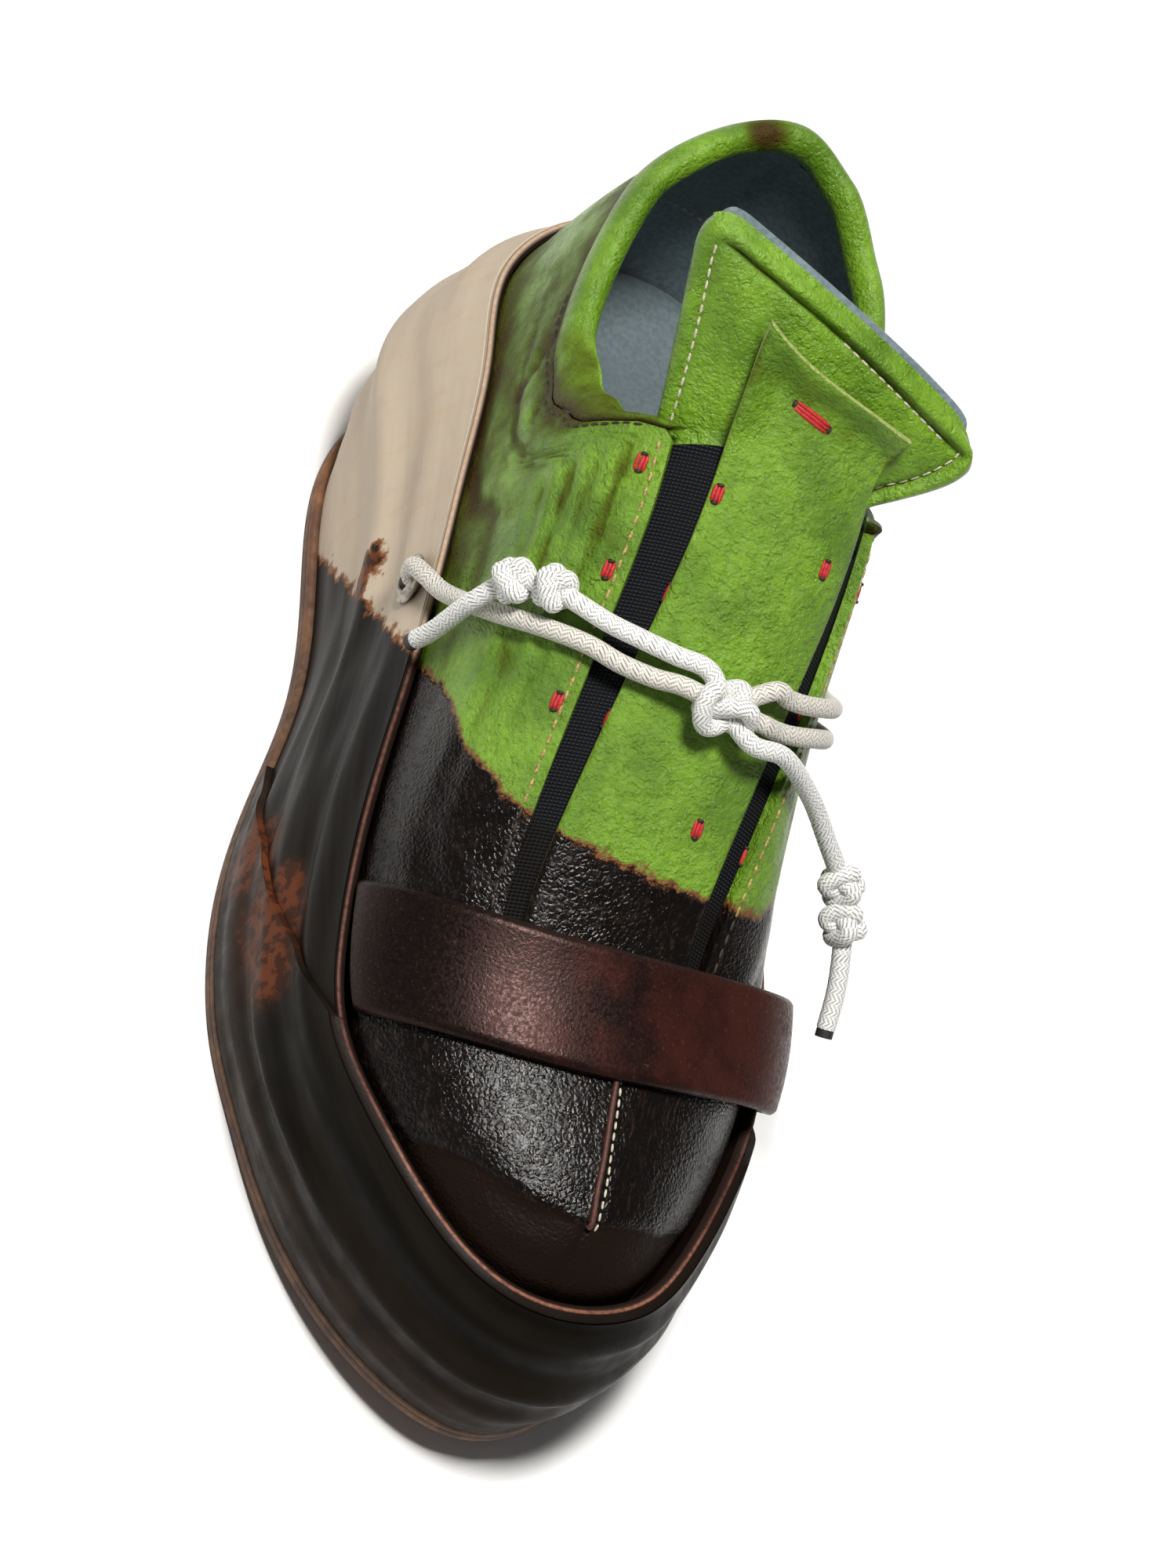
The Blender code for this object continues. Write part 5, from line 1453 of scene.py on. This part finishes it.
def add_braid(name, path, material, nodes=(), tip=0.0):
    """A braided cord along a path, its strands crossing over and under, its end sealed."""
    circles, angles = tube_rings(path, CORD_SIDES)
    run = lengths_along(path, 0)[:, None]
    one = STRANDS * angles + 2 * math.pi * run / STRAND_PITCH
    other = STRANDS * angles - 2 * math.pi * run / STRAND_PITCH
    over = np.cos(one / 2) * np.cos(other / 2) > 0
    height = np.where(over, np.abs(np.cos(one / 2)), np.abs(np.cos(other / 2)))
    sealed = (run > run[-1] - tip) & (tip > 0)
    size = CORD / 2 * np.where(sealed, CORD_SEALED, CORD_LEAST + CORD_WEAVE * height)
    points = path[:, None] + size[..., None] * circles
    faces = tube_faces(len(path), CORD_SIDES)
    kinds = [1 if sealed[face[0] // CORD_SIDES, 0] else 0 for face in faces]
    return add_piece(name, points.reshape(-1, 3), faces, [material, SEALED], nodes, "lace_white", kinds,
                     {"weave": height.ravel()}, SOFT)


def overhand(middle, ahead, half, turn):
    """Path of a tight overhand knot: a trefoil drawn out along the cord."""
    ahead = unit_of(np.asarray(ahead, float))
    side = unit_of(np.cross(ahead, (0.2, 0.3, 1.0)))
    up = np.cross(side, ahead)
    t = np.linspace(0, 2 * math.pi, KNOT_POINTS) + turn
    x = (np.sin(t) + 2 * np.sin(2 * t)) / 3
    y = (np.cos(t) - 2 * np.cos(2 * t)) / 3
    z = -np.sin(3 * t)
    return middle + half[0] * x[:, None] * ahead + half[1] * y[:, None] * side + half[2] * z[:, None] * up


def build_lace():
    radius = CORD / 2
    for name, rows in LACE_BARS.items():
        seat, axis = eyelet_seat(EYELETS["lateral" if "lateral" in name else "medial"])
        shift = SECOND_BAR if name == "lace_bar_medial_back" else np.zeros(3)
        climb = np.array([0.0, 0.0, 1.0])
        into = [seat + out * axis + up * climb + share * shift for out, up, share in EYELET_PASS]
        path, length = smooth_route(into + on_upper(rows) + [KNOT_MIDDLE], CORD_STEP)
        piece = add_braid("cord_" + name, path, BAR_BRAID_SHADED, [name])
    knot_path = overhand(KNOT_MIDDLE, (1.0, 0.15, -0.1), KNOT_LOOSE * KNOT_HALF - radius, 0.3)
    central = add_braid("cord_lace_knot", knot_path, BRAID, ["lace_knot"])
    for name, rows in LACE_ENDS.items():
        route = on_upper(rows)
        path, length = smooth_route([KNOT_MIDDLE] + route, CORD_STEP)
        knots = [central] if name == "lace_end_lateral" else []
        for number, place in enumerate(KNOTTED[name]):
            ahead = route[place + 1] - route[place - 1]
            knot = overhand(route[place], ahead, TWIN_HALF - radius, 0.8 * number)
            knots.append(add_braid(f"cord_{name}_knot_{number + 1}", knot, BRAID))
        piece = add_braid("cord_" + name, path, BRAID, [name], tip=SEALED_TIP)


# Threads: stitches, bar tacks and piping laid on the finished pieces

THREAD_SIDES = 6
THREAD_FLAT = 0.8
# Shape of a thread: along, and radius
SPINDLE = [(-1.0, 0.2), (-0.8, 0.75), (-0.35, 1.0), (0.35, 1.0), (0.8, 0.75), (1.0, 0.2)]
# Pitch, length and width of each kind of stitch
QUARTER_STITCH = (3.0, 2.3, 0.75)
COLLAR_STITCH = (2.6, 1.9, 0.6)
TONGUE_STITCH = (2.5, 1.9, 0.6)
HEEL_STITCH = (1.6, 1.5, 0.6)
TOE_STITCH = (2.4, 1.7, 0.6)
STITCH_IN = 2.4  # from the quarter's edge
COLLAR_STITCH_BELOW = 0.018  # share of the upper's rise
TONGUE_STITCH_IN = TONGUE_RIM + 0.9
HEEL_ARC = [(-12.0, 106.0, 82.0), (-9.0, 107.0, 81.0), (-5.0, 108.0, 79.5), (0.0, 108.5, 77.0)]
TACK_LENGTH = 3.6
TACK_THREADS = (-0.75, 0.0, 0.75)
TACK_WIDTH = 0.95
TACK_HOLE_SHADE = (0.8, 1.6)  # length and width of the dark mark painted as shade in each pulled hole
TACK_WAY = (0.0, 0.8, 0.6)
STRIP_TACKS = [(-10.9, 21.8, 119.5), (-12.9, 5.9, 105.1), (-15.3, -16.3, 89.7)]
STRIP_TACKS += [(15.7, 16.6, 116.2), (11.6, -6.2, 101.4), (8.9, -30.5, 85.5)]
QUARTER_TACKS = [(-24.7, 26.7, 113.5), (-24.4, 7.7, 102.7), (-25.3, -15.3, 87.8)]
QUARTER_TACKS += [(31.0, 23.0, 105.0), (23.9, -1.8, 94.2), (20.1, -28.6, 80.3)]
TOP_TACK = [(1.1, 37.4, 133.0), (5.9, 36.4, 132.1)]  # its middle and one end
TOP_TACK_LENGTH = 9.0
PIPING_RADIUS = 0.6
PIPING_SIDES = 10
PIPING_LIFT = 0.25
BESIDE_PIPING = 1.9


def surface_of(piece):
    mesh = piece.data
    return BVHTree.FromPolygons([v.co for v in mesh.vertices], [p.vertices for p in mesh.polygons])


def settle(surface, spots):
    """Nearest places on a surface and the ways out of it, in millimetres."""
    places, ups = [], []
    for spot in spots:
        place, up, _, _ = surface.find_nearest(Vector(spot) * MM)
        places.append(np.array(place) / MM)
        ups.append(np.array(up))
    return np.array(places), np.array(ups)


def laid_threads(surface, route, pitch, length, width):
    """Threads at even steps along a route on a surface."""
    centers, ups = settle(surface, smooth_route(route, pitch)[0])
    along = np.gradient(centers, axis=0)
    along = unit_of(along - np.sum(along * ups, axis=1, keepdims=True) * ups)
    side = np.cross(ups, along)
    angles = 2 * math.pi * np.arange(THREAD_SIDES) / THREAD_SIDES
    far, size = np.array(SPINDLE).T
    forward = np.broadcast_to((far * length / 2)[:, None], (len(far), THREAD_SIDES))[..., None]
    sideways = (size[:, None] * np.cos(angles) * width / 2)[..., None]
    upward = (size[:, None] * np.sin(angles) * width / 2 * THREAD_FLAT)[..., None]
    centers, along, side, ups = (part[:, None, None] for part in (centers, along, side, ups))
    threads = centers + forward * along + sideways * side + upward * ups
    return threads.reshape(-1, len(far) * THREAD_SIDES, 3)


def add_threads(name, groups, material):
    threads = np.concatenate(groups)
    each = threads.shape[1]
    pattern = tube_faces(len(SPINDLE), THREAD_SIDES)
    faces = [tuple(k * each + i for i in face) for k in range(len(threads)) for face in pattern]
    add_piece(name, threads.reshape(-1, 3), faces, [material], crease=80)


def bar_tack(surface, middle, toward, length):
    """Threads side by side, and at both ends a dark mark painted as the shade in each pulled hole."""
    middle, toward = np.array(middle), unit_of(np.asarray(toward, float))
    _, (up,) = settle(surface, [middle])
    toward = unit_of(toward - np.dot(toward, up) * up)
    side = np.cross(up, toward)
    threads = []
    for shift in TACK_THREADS:
        line = [middle + shift * side + at * length * toward for at in (-0.25, 0.0, 0.25)]
        threads.append(laid_threads(surface, line, length, length, TACK_WIDTH)[:1] + 0.25 * length * toward)
    ends = [middle - length / 2 * toward, middle, middle + length / 2 * toward]
    return threads, [laid_threads(surface, ends, length, *TACK_HOLE_SHADE)[[0, 2]]]


def along_tongue(face, runs, distance):
    """A line at one distance from the first column of a grid, or from the last if negative."""
    route = []
    for row, run in zip(face, runs):
        at = distance if distance > 0 else run[-1] + distance
        route.append([np.interp(at, run, row[:, i]) for i in range(3)])
    return route


def add_stitches(on_quarters, on_tongue, face, to_lateral, to_top):
    rows = []
    for sign in (-1, 1):
        stations = np.linspace(THROAT_TOP + 0.12, 7.9, 40)
        edge = [across(s, np.array([sign * (look_up(THROAT, s) + STITCH_IN)]))[0] for s in stations]
        rows.append(laid_threads(on_quarters, edge, *QUARTER_STITCH))
    threads = np.concatenate(rows)
    stained = dye_depth(threads.mean(axis=1)) > 0
    add_threads("quarter_stitches", [threads[~stained]], YELLOW)
    add_threads("dyed_stitches", [threads[stained]], DUSK)
    rows = []
    for start, end in ((3.0, 4.6), (TURNS - 3.0, TURNS - 4.6)):
        stations = np.linspace(start, end, 24)
        seam = [upper_point(s, edge_rise(s) - COLLAR_STITCH_BELOW) for s in stations]
        rows.append(laid_threads(on_quarters, seam, *COLLAR_STITCH))
    add_threads("collar_stitches", rows, DUSK)
    shown = slice(2, len(face) - 10)
    routes = [along_tongue(face[shown], to_lateral[shown], far) for far in (TONGUE_RIM, -TONGUE_STITCH_IN)]
    columns = range(len(face[0]) // 2, len(face[0]) - 12, 2)
    top = [[np.interp(-TONGUE_STITCH_IN, -to_top[:, c], face[:, c, i]) for i in range(3)] for c in columns]
    rows = [laid_threads(on_tongue, route, *TONGUE_STITCH) for route in routes + [top]]
    add_threads("tongue_stitches", rows, PALE)


def build_threads(upper, tongue, strip, face, to_lateral, to_top):
    on_quarters, on_tongue, on_strip = surface_of(upper), surface_of(tongue), surface_of(strip)
    add_stitches(on_quarters, on_tongue, face, to_lateral, to_top)
    rows, hole_shades = [], []
    tacks = [(on_strip, spot, TACK_WAY, TACK_LENGTH) for spot in STRIP_TACKS]
    tacks += [(on_quarters, spot, TACK_WAY, TACK_LENGTH) for spot in QUARTER_TACKS]
    tacks.append((on_strip, TOP_TACK[0], np.subtract(TOP_TACK[1], TOP_TACK[0]), TOP_TACK_LENGTH))
    for tack in tacks:
        threads, ends = bar_tack(*tack)
        rows += threads
        hole_shades += ends
    add_threads("red_tacks", rows, RED)
    # Dark thread marks at the tacks' ends: painted shade in the pulled holes.
    add_threads("tack_hole_shades", hole_shades, DUSK)
    add_threads("heel_lining_stitches", [laid_threads(on_quarters, HEEL_ARC, *HEEL_STITCH)], PALE)
    seam = [(look_up(TOE_SEAM_X, y), y, 66.0 + 0.35 * (y + 77)) for y in np.linspace(-73, -106, 40)]
    places, ups = settle(on_quarters, seam)
    path, _ = smooth_route(places + PIPING_LIFT * ups, 0.5)
    circles, _ = tube_rings(path, PIPING_SIDES)
    points = (path[:, None] + PIPING_RADIUS * circles).reshape(-1, 3)
    add_piece("toe_piping", points, tube_faces(len(path), PIPING_SIDES), [PIPING])
    beside = [(x + BESIDE_PIPING, y, z) for x, y, z in seam]
    add_threads("toe_stitches", [laid_threads(on_quarters, beside, *TOE_STITCH)], PALE)


# Stage, light and camera

AZIMUTH, ELEVATION, ROLL_TURN = 34.384, 49.258, 48.0
AIM = np.array([-0.8, -7.4, 54.3])
DISTANCE = 1716.5
LENS = 198.8
SENSOR = 36.0
FLOOR_HALF = 3000.0
FLOOR_TONES = (0.86, 0.86, 0.85), (0.90, 0.90, 0.89)
WORLD_COLOUR = (0.95, 0.97, 1.0, 1.0)
WORLD_STRENGTH = 0.10
# Direction in the camera's axes, distance in metres, size, power and colour
LIGHTS = {
    "key": ((0.30, 0.45, 0.84), 1.6, 0.36, 35.0, (1.0, 0.98, 0.95)),
    "fill": ((-0.9, -0.1, 0.8), 1.8, 1.4, 1.0, (0.95, 0.98, 1.0)),
    "rim": ((0.5, 0.9, -0.1), 1.6, 0.9, 4.0, (1.0, 1.0, 1.0)),
}


def camera_axes():
    a, e, r = (math.radians(v) for v in (AZIMUTH, ELEVATION, ROLL_TURN))
    back = Vector((-math.sin(a) * math.cos(e), -math.cos(a) * math.cos(e), math.sin(e)))
    right = Vector((math.cos(a), -math.sin(a), 0.0))
    up = back.cross(right)
    return (math.cos(r) * right + math.sin(r) * up, math.cos(r) * up - math.sin(r) * right, back)


def add_light(name, toward, distance, size, power, colour):
    """A square area light that faces the shoe."""
    data = bpy.data.lights.new(name, "AREA")
    data.shape = "SQUARE"
    data.size = size
    data.energy = power
    data.color = colour
    right, up, back = camera_axes()
    way = (toward[0] * right + toward[1] * up + toward[2] * back).normalized()
    light = add_object(name, data)
    light.location = Vector(AIM * MM) + distance * way
    light.rotation_euler = way.to_track_quat("Z", "Y").to_euler()


def build_stage():
    scene = bpy.context.scene
    right, up, back = camera_axes()
    data = bpy.data.cameras.new("camera")
    data.sensor_width = SENSOR
    data.lens = LENS
    data.clip_start = 0.1
    scene.camera = add_object("camera", data)
    turn = Matrix((right, up, back)).transposed().to_4x4()
    scene.camera.matrix_world = Matrix.Translation(Vector(AIM * MM) + DISTANCE * MM * back) @ turn
    scene.view_settings.view_transform = "Standard"
    for name, settings in LIGHTS.items():
        add_light(name, *settings)
    scene.world = bpy.data.worlds.new("world")
    scene.world.use_nodes = True
    sky = scene.world.node_tree.nodes["Background"].inputs
    sky["Color"].default_value = WORLD_COLOUR
    sky["Strength"].default_value = WORLD_STRENGTH
    corners = np.array([(-1, -1, 0), (1, -1, 0), (1, 1, 0), (-1, 1, 0)]) * FLOOR_HALF * MM
    mesh = bpy.data.meshes.new("floor")
    mesh.from_pydata(corners.tolist(), [], [(0, 1, 2, 3)])
    look = Look("pale_floor")
    base = look.mix(look.noise(0.4, 2.0), *FLOOR_TONES)
    mesh.materials.append(look.set(Base_Color=base, Roughness=0.9))
    floor = add_object("floor", mesh)


build_stage()
build_lace()
build_sole()
upper = build_upper()
build_collar()
tongue, tongue_face, to_lateral, to_top = build_tongue()
strip = build_strip()
build_gores()
build_strap()
build_threads(upper, tongue, strip, tongue_face, to_lateral, to_top)
